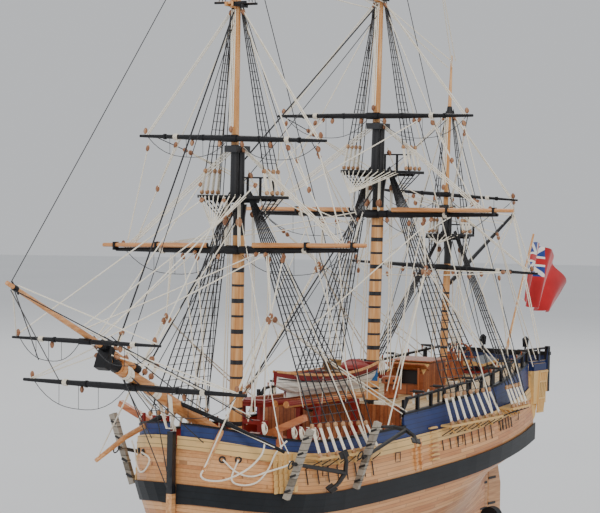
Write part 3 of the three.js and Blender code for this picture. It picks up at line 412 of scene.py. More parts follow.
HULL_WOOD = planked("hull_planking", ("c98650", "dfa468", "efbc84"), "7e4a26", 2.7, seam_depth=0.55, coat=0.2)
KEEL_WOOD = turned_wood("keel_timber", ("8f5a33", "c08a58", "d9a877"), "x")
STEM_WOOD = turned_wood("stem_wood", ("a8703f", "d39a64", "eab987"), "x", black_above=72.5)
BLACK = painted("black_paint", "0b0b0d", "252429")
BLACK_PLANKS = painted("black_planks", "0a0c0f", "242a30", rough=0.5, width=4.6, amount=0.7)
for finish in (BLACK, BLACK_PLANKS):
    set_shader(finish, "Specular IOR Level", 0.3)
CREAM = painted("cream_paint", *CREAM_PAINT, rough=0.5)
CREAM_STRAKE = painted("cream_strake", "ecc585", "c9954f", width=4.3, amount=0.45)
STERN_PAINT = painted("stern_paint", *CREAM_PAINT, rough=0.5, above=(131.0, "1b2b58"))
BLUE = painted("blue_paint", "253c78", "14224c", width=3.6, amount=0.7)
DECK = planked("deck_planking", ("c5a06c", "ddc192", "ecd8b2"), "5a4026", 2.4, across="y", rough=0.6)
DECK_RED = painted("red_paint", "9c2018", "5c100e", rough=0.5, amount=0.7)
HULL_WHITE = painted("white_paint", "f4f1e8", "d5cdb8", rough=0.4, width=4.0, across="z", amount=0.35)
BROWN_BOARDS = planked("brown_boards", BOARD_TONES, BOARD_SEAM, 3.1, across="x", rough=0.5)
BREAK_BOARDS = planked("break_boards", BOARD_TONES, BOARD_SEAM, 3.4, across="y", rough=0.5)
BROWN = turned_wood("brown_wood", ("7c3d1f", "a85c33", "c47c4e"))
SPAR = turned_wood("spar_wood", SPAR_TONES)
SPAR_LONG = turned_wood("boom_wood", BOOM_TONES, "x")
SPAR_ACROSS = turned_wood("studding_boom_wood", BOOM_TONES, "y")
BOAT_RED = painted("boat_red", "8f1b18", "5a0f0f", rough=0.5)
BOAT_BLUE = painted("boat_blue", "2b6fae", "1c4a80")
STOCK_WOOD = planked("anchor_stock", ("7d7465", "a1978a", "bdb4a4"), "4c463c", 5.0, across="z", rough=0.7)
IRON = painted("anchor_iron", "1a1a1c", "3f3a36", rough=0.55)
BLACK_LINE = twisted("tarred_line", "2c2b2f", "08080a")
CREAM_LINE = twisted("natural_line", "fffaf0", "efe2c4")
BLOCK_WOOD = turned_wood("block_wood", ("6e4028", "9d6a48", "c79a74"), rough=0.5)
DEADEYE_WOOD = turned_wood("deadeye_wood", ("8a5c3a", "b98a60", "d9b48c"), rough=0.5)
CATHEAD_WOOD = turned_wood("cathead_wood", ("8e4a28", "b56a3f", "d08a5a"), "y")
DARK_GLASS = painted("dark_panes", "12181d", "222d33", rough=0.15)
GREEN = painted("cask_paint", "1c2b24", "0d1512", rough=0.6, width=3.0, across="z")
WICKER = planked("basket_weave", ("6b4a28", "94703f", "b58f58"), "3a2511", 1.3, across="z", length=2.6,
                 rough=0.8)
BRASS = painted("bell_metal", "b98d3e", "7c5a22", rough=0.3)
set_shader(BRASS, "Metallic", 0.9)


# Modelling steps

def clear_selection():
    bpy.ops.object.select_all(action="DESELECT")


def begin(name):
    """An empty mesh object at the origin, open in edit mode."""
    clear_selection()
    bpy.ops.mesh.primitive_cube_add(size=0.01, location=(0, 0, 0))
    made = bpy.context.object
    made.name = name
    made.data.name = name
    bpy.ops.object.mode_set(mode="EDIT")
    bpy.ops.mesh.delete(type="VERT")
    return made


def done(made, material, body="ship", bevel=0.0, smooth=None):
    """Closes edit mode and gives the piece its edges, finish and body."""
    if bpy.context.mode == "EDIT_MESH":
        bpy.ops.mesh.select_all(action="SELECT")
        bpy.ops.mesh.normals_make_consistent(inside=False)
        bpy.ops.object.mode_set(mode="OBJECT")
    clear_selection()
    made.select_set(True)
    bpy.context.view_layer.objects.active = made
    if bevel:
        step = made.modifiers.new("edges", "BEVEL")
        step.width = bevel * MM
        step.segments = 2
        step.limit_method = "ANGLE"
        bpy.ops.object.modifier_apply(modifier=step.name)
    if smooth:
        bpy.ops.object.shade_smooth_by_angle(angle=math.radians(smooth))
    made.data.materials.append(material)
    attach(made, body)
    return made


def turn_to(a, b):
    return (b - a).to_track_quat("Z", "Y").to_euler()


def rod(a, b, r0, r1=None, sides=8):
    """A round bar between two ship places."""
    a, b = spot(*a), spot(*b)
    bpy.ops.mesh.primitive_cone_add(
        vertices=sides, radius1=r0 * MM, radius2=(r0 if r1 is None else r1) * MM,
        depth=(b - a).length, location=(a + b) / 2, rotation=turn_to(a, b))


def block_box(centre, size, turn=(0.0, 0.0, 0.0)):
    """A squared timber at a ship place; size along x, y and z, turned in degrees."""
    bpy.ops.mesh.primitive_cube_add(
        size=1.0, location=spot(*centre), rotation=[math.radians(t) for t in turn],
        scale=[s * MM for s in size])


def ring(centre, radius, thick, turn, segments):
    """A round iron ring; thick is the radius of its bar."""
    bpy.ops.mesh.primitive_torus_add(
        major_segments=segments, minor_segments=6, major_radius=radius * MM, minor_radius=thick * MM,
        location=spot(*centre), rotation=turn)


def plank(a, b, width, thick, up=(0, 0, 1)):
    """A squared timber between two ship places; thick is measured along up."""
    a, b = spot(*a), spot(*b)
    way = (b - a).normalized()
    side = way.cross(Vector(up)).normalized()
    top = side.cross(way)
    frame_of = Matrix((side, top, way)).transposed()
    bpy.ops.mesh.primitive_cube_add(
        size=1.0, location=(a + b) / 2, rotation=frame_of.to_euler(),
        scale=(width * MM, thick * MM, (b - a).length))


def thread(name, runs, thick, material=BLACK_LINE):
    """Rigging lines: each run is a list of ship places."""
    clear_selection()
    bpy.ops.curve.primitive_bezier_curve_add()
    made = bpy.context.object
    made.name = name
    curve = made.data
    curve.splines.clear()
    curve.dimensions = "3D"
    curve.bevel_depth = thick / 2 * MM
    curve.bevel_resolution = 1
    curve.use_fill_caps = True
    for run in runs:
        spline = curve.splines.new("POLY")
        spline.points.add(len(run) - 1)
        for knot, where in zip(spline.points, run):
            knot.co = (*spot(*where), 1.0)
    bpy.ops.object.convert(target="MESH")
    made = bpy.context.object
    made.data.name = name
    return done(made, material, smooth=60)


def sag(a, b, drop, steps=10, flat=2.0):
    """Places along a slack line between two ends; stirrups make its middle flatter."""
    places = []
    for i in range(steps + 1):
        t = i / steps
        low = drop * (1 - abs(2 * t - 1) ** flat)
        places.append((mix(a[0], b[0], t), mix(a[1], b[1], t), mix(a[2], b[2], t) - low))
    return places


def curl(places, steps=6):
    """A smooth route through the given places."""
    route = []
    count = len(places)
    for i in range(count - 1):
        p0, p1, p2, p3 = (Vector(places[max(0, min(count - 1, i + k))]) for k in (-1, 0, 1, 2))
        for j in range(steps):
            t = j / steps
            route.append(tuple(0.5 * ((2 * p1) + (p2 - p0) * t + (2 * p0 - 5 * p1 + 4 * p2 - p3) * t**2
                                      + (3 * p1 - p0 - 3 * p2 + p3) * t**3)))
    route.append(tuple(places[-1]))
    return route


def mirror_runs(runs):
    return runs + [[flip(place, -1) for place in run] for run in runs]


def copies(pattern, name, places, material, size, smooth=40):
    """Copies of one modelled piece, each with its own mesh, joined under one name."""
    twins = []
    grown = Matrix.Scale(size, 4)
    for where, turn in places:
        twin = pattern.copy()
        twin.data = pattern.data.copy()
        bpy.context.collection.objects.link(twin)
        twin.data.transform(Matrix.Translation(spot(*where)) @ turn.to_matrix().to_4x4() @ grown)
        twins.append(twin)
    clear_selection()
    for twin in twins:
        twin.select_set(True)
    bpy.context.view_layer.objects.active = twins[0]
    bpy.ops.object.join()
    made = bpy.context.object
    made.name = name
    made.data.name = name
    return done(made, material, smooth=smooth)


def paint(node, finishes, rule=None):
    """Gives a frame node its finishes; rule picks one by a face's place on the ship and its normal."""
    mesh = nodes[node].data
    mesh.materials.clear()
    for one in finishes:
        mesh.materials.append(one)
    for face in mesh.polygons:
        c = face.center
        at = (c.x / MM + MIDSHIPS, c.y / MM, c.z / MM - CRADLE)
        face.material_index = finishes.index(rule(at, face.normal)) if rule else 0


def plain(finish, *names):
    for name in names:
        paint(name, [finish])


def shade_round(*names):
    clear_selection()
    for name in names:
        nodes[name].select_set(True)
    bpy.context.view_layer.objects.active = nodes[names[0]]
    bpy.ops.object.shade_smooth_by_angle(angle=math.radians(32))


# Hull and deck finishes on the frame's own nodes
WALES = ["main_wale_port", "main_wale_starboard"]
STRAKES = ["sheer_strake_port", "sheer_strake_starboard"]
TOPMASTS = [f"{name}_topmast" for name in MASTS]
POLES = ["fore_topgallant_mast", "main_topgallant_mast"]
STAYS = ["fore_stay", "fore_topmast_stay", "main_stay", "main_topmast_stay"]
YARD_NAMES = [*YARDS, "spritsail_yard", "sprit_topsail_yard"]

plain(HULL_WOOD, "hull")
plain(BLACK_PLANKS, *WALES)
plain(CREAM_STRAKE, *STRAKES)
plain(BLACK, "cradle", "gaff", "fore_top", "main_top", "mizzen_top", *YARD_NAMES)
plain(SPAR, "ensign_staff", *POLES)
plain(SPAR_LONG, "jibboom")
plain(KEEL_WOOD, "rudder")
plain(BROWN, "steering_wheel", "capstan", "wheel_stand", "windlass")
plain(BLACK_LINE, *STAYS)


def bulwark_finish(at, normal):
    x, y, z = at
    top = bulwark_z(x)
    if x > 214 and z < sheer_z(x) + 30 and abs(y) > 20 and half_breadth(x, z) + 3 < abs(y):
        return SPAR_LONG
    if 188 < x < 200 and abs(y) > 46:
        return CATHEAD_WOOD
    if z > top + 0.2 or x < BREAK_X and z > top - 0.4:
        return BLACK
    if normal.y * (1 if y > 0 else -1) < -0.2 or x > BREAK_X and abs(normal.z) > 0.8:
        return DECK_RED
    return BLUE


for side_name in ("port", "starboard"):
    paint(f"bulwark_{side_name}", [BLUE, DECK_RED, BLACK, SPAR_LONG, CATHEAD_WOOD], bulwark_finish)

def stem_finish(at, normal):
    return STEM_WOOD if at[0] > 200 and at[2] > 20 else KEEL_WOOD


def main_deck_finish(at, normal):
    if at[2] < deck_z(at[0]) + 1.9:
        return DECK
    return BROWN_BOARDS if 50 < at[0] < 88 else DECK_RED


def quarterdeck_finish(at, normal):
    return BREAK_BOARDS if at[0] > BREAK_X - 1.8 and at[2] > deck_z(at[0]) + 4 else DECK


def stern_finish(at, normal):
    x, _, z = at
    if z > 142 or z > 122 and x < -257 and abs(normal.y) > 0.7:
        return BLACK
    if normal.z > 0.8 and x > -257:
        return DECK
    return BLUE if z > 122 and normal.x < -0.7 else STERN_PAINT


def companion_finish(at, normal):
    if normal.z > 0.6 and at[2] > quarterdeck_z(at[0]) + 20:
        return CREAM
    return IRON if -97 < at[0] < -94 else BROWN_BOARDS


def skylight_finish(at, normal):
    if at[2] < quarterdeck_z(at[0]) + 7.4:
        return DECK_RED
    return DARK_GLASS if normal.z > 0.3 else CREAM


paint("backbone", [KEEL_WOOD, STEM_WOOD], stem_finish)
paint("main_deck", [DECK, DECK_RED, BROWN_BOARDS], main_deck_finish)
paint("quarterdeck", [DECK, BREAK_BOARDS], quarterdeck_finish)
paint("transom", [STERN_PAINT, BLUE, BLACK, DECK], stern_finish)
paint("companion", [BROWN_BOARDS, CREAM, IRON], companion_finish)
paint("skylight", [DECK_RED, CREAM, DARK_GLASS], skylight_finish)


def boat_finish(at, normal):
    x, y, z = at
    rise = 5.0 * (2 * (x - BOAT_STERN) / BOAT_LENGTH - 1) ** 2
    side = (y - BOAT_Y) * normal.y > 0.02 and normal.z < 0.55
    outside = side or z < 133.0 or abs(normal.x) > 0.85 and x < 9
    return HULL_WHITE if outside and z < BOAT_KEEL + 15 + rise - 4.2 else BOAT_RED


def spare_finish(at, normal):
    on_gallows = min(abs(at[0] - 100), abs(at[0] - 46)) < 2.3
    return SPAR_LONG if at[2] > 124.4 and not on_gallows else DECK_RED


paint("boat", [HULL_WHITE, BOAT_RED], boat_finish)
paint("spare_spars", [SPAR_LONG, DECK_RED], spare_finish)

# Masts: iron bands up to a height, then black from the doubling on
MAST_BANDS = {"fore": ((112.5, 232, 21.7, 3.2, 1.7), 247), "main": ((114.7, 255, 21.1, 3.2, 1.7), 268),
              "mizzen": ((152, 205, 15.0, 1.8, 0.9), 222)}
for name, (bands, black) in MAST_BANDS.items():
    plain(turned_wood(f"{name}_mast_wood", SPAR_TONES, bands=bands, black_above=black), f"{name}_lower_mast")


def topmast_finish(m, wood):
    def pick(at, normal):
        _, y, z = at
        if "cap" not in m:
            return BLACK if abs(z - m["cross"]) < 3.2 else wood
        tree = m["cross"] - 3.2 < z < m["cross"] + 0.4 and (abs(y) > 3.3 or abs(normal.z) > 0.9)
        return BLACK if tree or z > m["cap"] - 3.6 else wood

    return pick


for name, m in MASTS.items():
    doubled = turned_wood(f"{name}_topmast_wood", SPAR_TONES, black_below=m["head"] + 0.5)
    paint(f"{name}_topmast", [doubled, BLACK], topmast_finish(m, doubled))

# Studding sail booms on the course yards: where they lie off the yard, their radius and their inner ends
BOOM_AHEAD, BOOM_LIFT, BOOM_R, BOOM_INNER = 3.6, 3.3, 1.8, 18.8


def course_finish(name):
    x = yard_at(name, 1, 0)[0]
    half = YARDS[name][2]

    def pick(at, normal):
        z = yard_at(name, 1, at[1] / half)[2]
        near = math.hypot(at[0] - x - BOOM_AHEAD, at[2] - z - BOOM_LIFT) < BOOM_R + 0.15
        on_boom = near and abs(at[1]) > BOOM_INNER and abs(normal.y) < 0.9
        return SPAR_ACROSS if on_boom or abs(at[1]) > half + 0.6 else BLACK

    return pick


def bowsprit_finish(at, normal):
    rise = BOWSPRIT["rise"]
    distance = (at[0] - BOWSPRIT["x"]) * math.cos(rise) + (at[2] - BOWSPRIT["z"]) * math.sin(rise)
    return BLACK if abs(distance - 85) < 5.0 else SPAR_LONG


def anchor_finish(stock_x):
    return lambda at, normal: STOCK_WOOD if abs(at[0] - stock_x) < 3.4 else IRON


for name in COURSES:
    paint(name, [BLACK, SPAR_ACROSS], course_finish(name))
paint("bowsprit", [SPAR_LONG, BLACK], bowsprit_finish)
for name, stock_x in (("port_bower", 196.9), ("starboard_bower", 196.9), ("port_sheet", 118.4)):
    paint(f"{name}_anchor", [STOCK_WOOD, IRON], anchor_finish(stock_x))

shade_round("hull", "steering_wheel", "capstan", "windlass", "boat", "jibboom", "gaff", "ensign_staff",
            "bowsprit", "spare_spars", *(f"{name}_lower_mast" for name in MASTS), *TOPMASTS, *POLES,
            *YARD_NAMES, *WALES, *STRAKES, *STAYS)


# Patterns that are modelled once and copied

def block_pattern():
    made = begin("block_pattern")
    bpy.ops.mesh.primitive_uv_sphere_add(
        segments=10, ring_count=6, radius=1.0, scale=(1.25 * MM, 1.45 * MM, 2.2 * MM))
    bpy.ops.mesh.primitive_torus_add(
        major_segments=10, minor_segments=4, major_radius=1.7 * MM, minor_radius=0.25 * MM,
        rotation=(math.pi / 2, 0, math.pi / 2))
    bpy.ops.mesh.select_all(action="SELECT")
    bpy.ops.transform.resize(value=(1.0, 0.86, 1.0))
    bpy.ops.object.mode_set(mode="OBJECT")
    return made


def deadeye_pattern():
    """A flat round block, rounded at both rims, with three lanyard holes."""
    made = begin("deadeye_pattern")
    flat = (math.pi / 2, 0, 0)
    bpy.ops.mesh.primitive_cylinder_add(vertices=12, radius=1.5 * MM, depth=1.6 * MM, rotation=flat)
    bpy.ops.mesh.select_all(action="SELECT")
    bpy.ops.mesh.bevel(offset=0.35 * MM, segments=1, affect="EDGES")
    for angle in (90, 210, 330):
        a = math.radians(angle)
        for side in (-1, 1):
            bpy.ops.mesh.primitive_cylinder_add(
                vertices=6, radius=0.28 * MM, depth=0.16 * MM, rotation=flat,
                location=(0.72 * MM * math.cos(a), side * 0.8 * MM, 0.72 * MM * math.sin(a)))
    bpy.ops.object.mode_set(mode="OBJECT")
    return made


BLOCK = block_pattern()
DEADEYE = deadeye_pattern()
UPRIGHT = Euler((0, 0, 0))


def lean_to(a, b):
    """Turn that stands a pattern's z along a line between two ship places."""
    return turn_to(spot(*a), spot(*b))


# Lower shrouds, one gang a side
def gang_lines(name):
    first, last, count, breadth, lift, follow = GANGS[name]
    m = MASTS[name]
    middle = (first + last) / 2
    shelf = sheer_z(middle) - 1.5 + lift
    tilt = follow * (sheer_z(last) - sheer_z(first)) / (first - last)

    def rim(x):
        return half_breadth(x, sheer_z(x) - 4) + 1.7

    def shelf_z(x):
        return shelf + (middle - x) * tilt

    out = max(rim(first), rim(last)) + breadth
    head = mast_at(name, m["top"] + 3.8)
    lines = []
    for i in range(count):
        t = i / (count - 1)
        x = mix(first, last, t)
        foot = Vector((x, out - 0.9, shelf_z(x)))
        crown = Vector((head[0] + mix(1.5, -1.5, t), m["lower"] * 1.3 + 1.35, head[2] + 0.25 * i))
        lines.append((foot, crown, (crown - foot).normalized()))
    return lines, rim, shelf_z, out


def along(foot, way, distance):
    return tuple(foot + way * distance)


def parts(low, high, *shifts):
    """Parts of a lanyard side by side, each shifted along the ship."""
    return [[(low[0] + shift, *low[1:]), (high[0] + shift, *high[1:])] for shift in shifts]


def rungs_up(lines, side, low, high):
    """Ratlines across a gang, from one height to another."""
    rows = []
    rung = low
    while rung < high:
        rows.append([flip(along(foot, way, (rung - foot.z) / way.z), side) for foot, _, way in lines])
        rung += RATLINE_STEP
    return rows


def channel(name, side, x0, x1, rim, shelf_z, out, breadth):
    """A shelf on the hull's side, in short straight boards, with brackets under it."""
    board = begin(name)
    steps, brackets = 8, 4
    for i in range(steps):
        xa, xb = mix(x0, x1, i / steps), mix(x0, x1, (i + 1) / steps)
        x, ya, yb = (xa + xb) / 2, rim((xa + xb) / 2) - 0.9, out
        tilt = math.degrees(math.atan((shelf_z(xb) - shelf_z(xa)) / (xa - xb)))
        block_box((x, side * (ya + yb) / 2, shelf_z(x)), (abs(xa - xb) + 0.05, yb - ya, 1.7), (0, tilt, 0))
    for i in range(brackets):
        x = mix(x0, x1, (i + 0.5) / brackets)
        plank((x, side * (rim(x) - 0.5), shelf_z(x) - 6.5),
              (x, side * (rim(x) + breadth * 0.7), shelf_z(x) - 1.2), 1.2, 1.2)
    done(board, CREAM, bevel=0.25)


lower_lines = {}
deadeye_places = []
for name, lanyard in LANYARDS.items():
    lines, rim, shelf_z, out = gang_lines(name)
    lower_lines[name] = lines
    first, last, _, breadth = GANGS[name][:4]
    for side, side_name in ((1, "port"), (-1, "starboard")):
        runs, sheer_pole, lanyards, chains = [], [], [], []
        for foot, crown, way in lines:
            runs.append([along(foot, way, lanyard - 0.5), tuple(crown)])
            sheer_pole.append(flip(along(foot, way, lanyard + 2.0), side))
            lanyards += parts(along(foot, way, 3.2), along(foot, way, lanyard - 1.4), -1.1, 0.0, 1.1)
            under = foot - way * 8.5
            drops = []
            for d in (0.0, 4.0, 8.0, 11.0):
                x, z = under.x - 0.12 * d, under.z - d
                drops.append((x, half_breadth(x, z) + 0.6, z))
            chains.append([along(foot, way, 1.0), (foot.x, foot.y + 0.4, foot.z - 1.6), drops[0]])
            chains.append(drops)
            for distance in (2.4, lanyard):
                turn = Euler((0, 0, math.radians(side * 2)))
                deadeye_places.append((flip(along(foot, way, distance), side), turn))
        runs, lanyards, chains = ([[flip(p, side) for p in run] for run in group]
                                  for group in (runs, lanyards, chains))
        lowest = max(foot.z for foot, _, _ in lines) + lanyard + 5
        ratlines = rungs_up(lines, side, lowest, MASTS[name]["top"] - 13)
        shrouds = thread(f"{name}_shroud_lines_{side_name}", runs, 0.95)
        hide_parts(f"{name}_shrouds_{side_name}")
        thread(f"{name}_ratlines_{side_name}", ratlines + [sheer_pole], 0.52)
        thread(f"{name}_lanyards_{side_name}", lanyards, 1.0, CREAM_LINE)
        thread(f"{name}_chainplates_{side_name}", chains, 0.8, IRON)
        channel(f"{name}_channel_{side_name}", side, first + 3, last - 3, rim, shelf_z, out, breadth)
copies(DEADEYE, "channel_deadeyes", deadeye_places, DEADEYE_WOOD, 1.35)


# Tops: topmast shrouds with their deadeyes, and futtock shrouds. Each row says how many shrouds there are,
# how far off the mast the first and the last one stand, and how far their upper deadeyes reach
top_deadeyes = []
for name, count, ahead, behind, reach in (("fore", 4, 7.0, -13.5, 17.0), ("main", 4, 7.0, -14.5, 18.5),
                                          ("mizzen", 3, 4.0, -8.5, 11.0)):
    m = MASTS[name]
    top = m["top"]
    centre = mast_at(name, top)[0]
    lines = lower_lines[name]
    head = mast_at(name, m["cross"] - 1.0, TOPMAST_AHEAD)
    shrouds, rungs, futtocks, lanyards = [], [], [], []
    for i in range(count):
        t = i / (count - 1)
        foot = Vector((centre + mix(ahead, behind, t), m["half"] - 1.4, top + 2.4))
        crown = Vector((head[0] + mix(1.2, -1.2, t), m["topmast"] + 0.3, head[2] + 0.4 * i))
        way = (crown - foot).normalized()
        shrouds.append([along(foot, way, reach - 0.4), tuple(crown)])
        for distance in (1.8, reach):
            for side in (1, -1):
                top_deadeyes.append((flip(along(foot, way, distance), side), UPRIGHT))
        lanyards += parts(along(foot, way, 2.8), along(foot, way, reach - 1.2), -1.0, 0.0, 1.0)
        held_foot, _, held_way = lines[min(len(lines) - 1, 1 + i * 2)]
        held = along(held_foot, held_way, (top - 15 - held_foot.z) / held_way.z)
        futtocks.append([(foot.x, foot.y, top + 0.2), held])
    height = top + reach + 8
    while height < m["cross"] - 8:
        rungs.append([between(a, b, (height - a[2]) / (b[2] - a[2])) for a, b in shrouds])
        height += RATLINE_STEP
    for t in (0.25, 0.5, 0.75):
        rungs.append([between(*run, t) for run in futtocks])
    thread(f"{name}_topmast_shrouds", mirror_runs(shrouds), 0.8)
    thread(f"{name}_topmast_ratlines", mirror_runs(rungs), 0.52)
    thread(f"{name}_futtock_shrouds", mirror_runs(futtocks), 0.9)
    thread(f"{name}_top_lanyards", mirror_runs(lanyards), 1.05, CREAM_LINE)
copies(DEADEYE, "top_deadeyes", top_deadeyes, DEADEYE_WOOD, 1.2)

# Crowsfeet: legs, how far round the top they reach, their meeting place and the stay's place that holds it
crowsfeet = {"fore": (11, 44, (197.4, 0.0, 251.2), (193.0, 0.0, 240.6)),
             "main": (14, 70, (9.8, 0.0, 278.2), (-1.5, 0.0, 262.0)),
             "mizzen": (7, 60, (-134.8, 0.0, 238.8), (-134.5, 0.0, 226.4))}
for name, (legs, widest, mark, held) in crowsfeet.items():
    m = MASTS[name]
    centre = mast_at(name, m["top"])[0]
    runs = [[mark, held]]
    for i in range(legs):
        angle = math.radians(mix(-widest, widest, i / (legs - 1)))
        x = centre + 2 + (m["length"] * 0.58 - 2) * math.cos(angle) ** 0.75
        y = m["half"] * 0.95 * math.sin(angle)
        runs.append([(x - 1.0, y * 0.97, m["top"] + 2.4), (x + 0.4, y * 1.01, m["top"] + 1.0), mark])
    thread(f"{name}_crowsfoot", runs, 0.8, CREAM_LINE)


# Standing rigging beyond the main stays
standing = []
for name in ("fore", "main"):
    m = MASTS[name]
    cross = mast_at(name, m["cross"], TOPMAST_AHEAD)
    high = mast_at(name, m["truck"] - 34, POLE_AHEAD)
    standing += mirror_runs([[(cross[0] + shift, 12.6, m["cross"]), (high[0], 1.6, high[2] + shift)]
                             for shift in (-3.5, 0.5, 4.5)])
backstay_feet = {"fore": (88.3, 91.0), "main": (-105.8, -102.6), "mizzen": (-155.2,)}
for name, feet in backstay_feet.items():
    m = MASTS[name]
    _, _, shelf_z, out = gang_lines(name)
    for i, x in enumerate(feet):
        high = mast_at(name, m["cross"] + 1 + i * 0.5 * (m["truck"] - m["cross"]), TOPMAST_AHEAD - 2)
        standing += mirror_runs([[(x, out - 2, shelf_z(x)), (high[0], 2.2, high[2])]])
stay_pairs = [
    (mast_at("fore", 258, 5.0), on_bowsprit(30, 5.5)),
    (mast_at("fore", 398, 10.0), on_bowsprit(61, 6.0)),
    (mast_at("fore", 500, POLE_AHEAD + 1.5), on_bowsprit(190, 9.4)),
    (mast_at("main", 277, 6.0), (160.5, 0.0, 127.0)),
    (mast_at("main", 418, 10.0), (161.0, 0.0, 283.0)),
    (mast_at("main", 532, POLE_AHEAD), mast_at("fore", 412, 4.0)),
    (mast_at("mizzen", 238, 4.0), mast_at("main", 150, -5.0)),
    (mast_at("mizzen", 342, TOPMAST_AHEAD + 2), mast_at("main", 294, -4.5)),
]
standing += [sag(a, b, 1.2, 6) for a, b in stay_pairs]
thread("standing_rigging", standing, 0.62)

# Bobstays, gammoning, bowsprit shrouds and jib guys
head_runs = [
    [on_bowsprit(24, -4.5), (245.6, 0.0, 84.0)],
    [on_bowsprit(62, -4.2), (246.0, 0.0, 76.0)],
    [on_bowsprit(188, 5.0, 1.2), on_bowsprit(118, -14.0, -30.0)],
]
for side in (1, -1):
    head_runs.append([on_bowsprit(60, -2.0, side * 3.6), (226.0, side * 24.0, 101.0)])
    head_runs.append([on_bowsprit(188, 5.0, side * 1.6), on_bowsprit(52, -6.0, side * 60)])
    head_runs.append([on_bowsprit(92, 12.0, side * 4.0), (206.0, side * 42.0, 122.0)])
    head_runs.append(sag(on_bowsprit(84, 15.0, side * 4.5), (228.0, side * 20.0, 128.0), 2.5))
thread("head_rigging", head_runs, 0.75)
gammon_runs = []
for i in range(6):
    at, x = 9.0 + i * 0.95, 243.4 + i * 0.3
    gammon_runs.append([on_bowsprit(at, 4.9), on_bowsprit(at, 1.0, 4.8), (x, 2.6, 117.0),
                        (x, -2.6, 117.0), on_bowsprit(at, 1.0, -4.8), on_bowsprit(at, 4.9)])
for at in (22.0, 26.0, 56.0, 60.0):
    for i in range(4):
        gammon_runs.append([on_bowsprit(at + i * 0.85, 4.9 * math.cos(math.pi * k / 5),
                                        4.9 * math.sin(math.pi * k / 5)) for k in range(11)])
thread("gammoning", gammon_runs, 0.85, CREAM_LINE)
bees = begin("bowsprit_bees")
rod(on_bowsprit(70.5), on_bowsprit(80.5), 4.5, 4.3, 12)
for near, far, r0, r1 in ((44, 50, 2.9, 2.9), (78, 90, 2.9, 2.8), (184, 188, 1.95, 1.9)):
    rod(on_bowsprit(near, 7.2), on_bowsprit(far, 7.2), r0, r1, 12)
rod(on_bowsprit(185, 3.6, 2.2), on_bowsprit(187.5, 10.6, -1.2), 0.6)
done(bees, BLACK, bevel=0.25, smooth=40)

# Hearts and deadeyes at the feet of the stays
hearts, heart_runs = [], []
for foot, head, gap in (
        (on_bowsprit(38, 5.8), mast_at("fore", 264, 6.2), 11.0),
        (on_bowsprit(72, 10.4), mast_at("fore", 405, 10.4), 10.0),
        (on_bowsprit(30, 5.5), mast_at("fore", 258, 5.0), 9.0),
        (on_bowsprit(61, 6.0), mast_at("fore", 398, 10.0), 9.0),
        ((157.8, 0.0, 130.0), mast_at("main", 284, 6.8), 11.0),
        ((160.5, 0.0, 127.0), mast_at("main", 277, 6.0), 8.0)):
    foot, head = Vector(foot), Vector(head)
    way = (head - foot).normalized()
    for distance in (3.0, 3.0 + gap):
        hearts.append((along(foot, way, distance), UPRIGHT))
    for shift in (-1.2, -0.4, 0.4, 1.2):
        a, b = foot + way * 4.0, foot + way * (2.0 + gap)
        heart_runs.append([(a.x, a.y + shift, a.z), (b.x, b.y + shift, b.z)])
copies(DEADEYE, "stay_hearts", hearts, BLOCK_WOOD, 1.5)
thread("stay_lanyards", heart_runs, 0.7, CREAM_LINE)

# Yard gear: footropes with stirrups, lifts, slings and lashings
foot_runs, stirrup_runs, lift_runs, lashings, blocks = [], [], [], [], []


def yard_band(x, y0, y1, z, r):
    rod((x, y0, z), (x, y1, z), r, sides=10)


def lashing(centre, r, step):
    """Four turns of line round a spar that lies across the ship."""
    for k in range(4):
        x, y, z = (p + q * k for p, q in zip(centre, step))
        turns = (math.pi * q / 4 for q in range(9))
        lashings.append([(x + r * math.cos(a), y, z + r * math.sin(a)) for a in turns])


def footrope(outer, inner, drop, back, stirrup_top):
    """A rope slung under a yard; stirrup_top gives the yard's place over a stirrup."""
    route = sag(outer, inner, drop, 14, 2.6)
    foot_runs.append([(x - back, y, z) for x, y, z in route])
    for x, y, z in (route[4], route[7], route[10]):
        stirrup_runs.append([stirrup_top(x, y), (x - back, y, z)])


slings = begin("yard_slings")
for name, (_, z, _, r, _) in YARDS.items():
    x = yard_at(name, 1, 0)[0]
    yard_band(x, -5.5, 5.5, z, r + 0.55)
    for side in (1, -1):
        for t in (0.12,) if name in COURSES else (0.3, 0.72):
            _, y, band_z = yard_at(name, side, t)
            yard_band(x, y - 0.9, y + 0.9, band_z, r * mix(1, 0.7, t) + 0.45)
for distance, half, r, lift in HEAD_YARDS:
    x, _, z = on_bowsprit(distance, lift)
    yard_band(x, -4.5, 4.5, z, r + 0.5)
    for side in (1, -1):
        yard_band(x, side * half * 0.4, side * (half * 0.4 + 1.6), z, r + 0.3)
done(slings, BLACK, bevel=0.12, smooth=40)

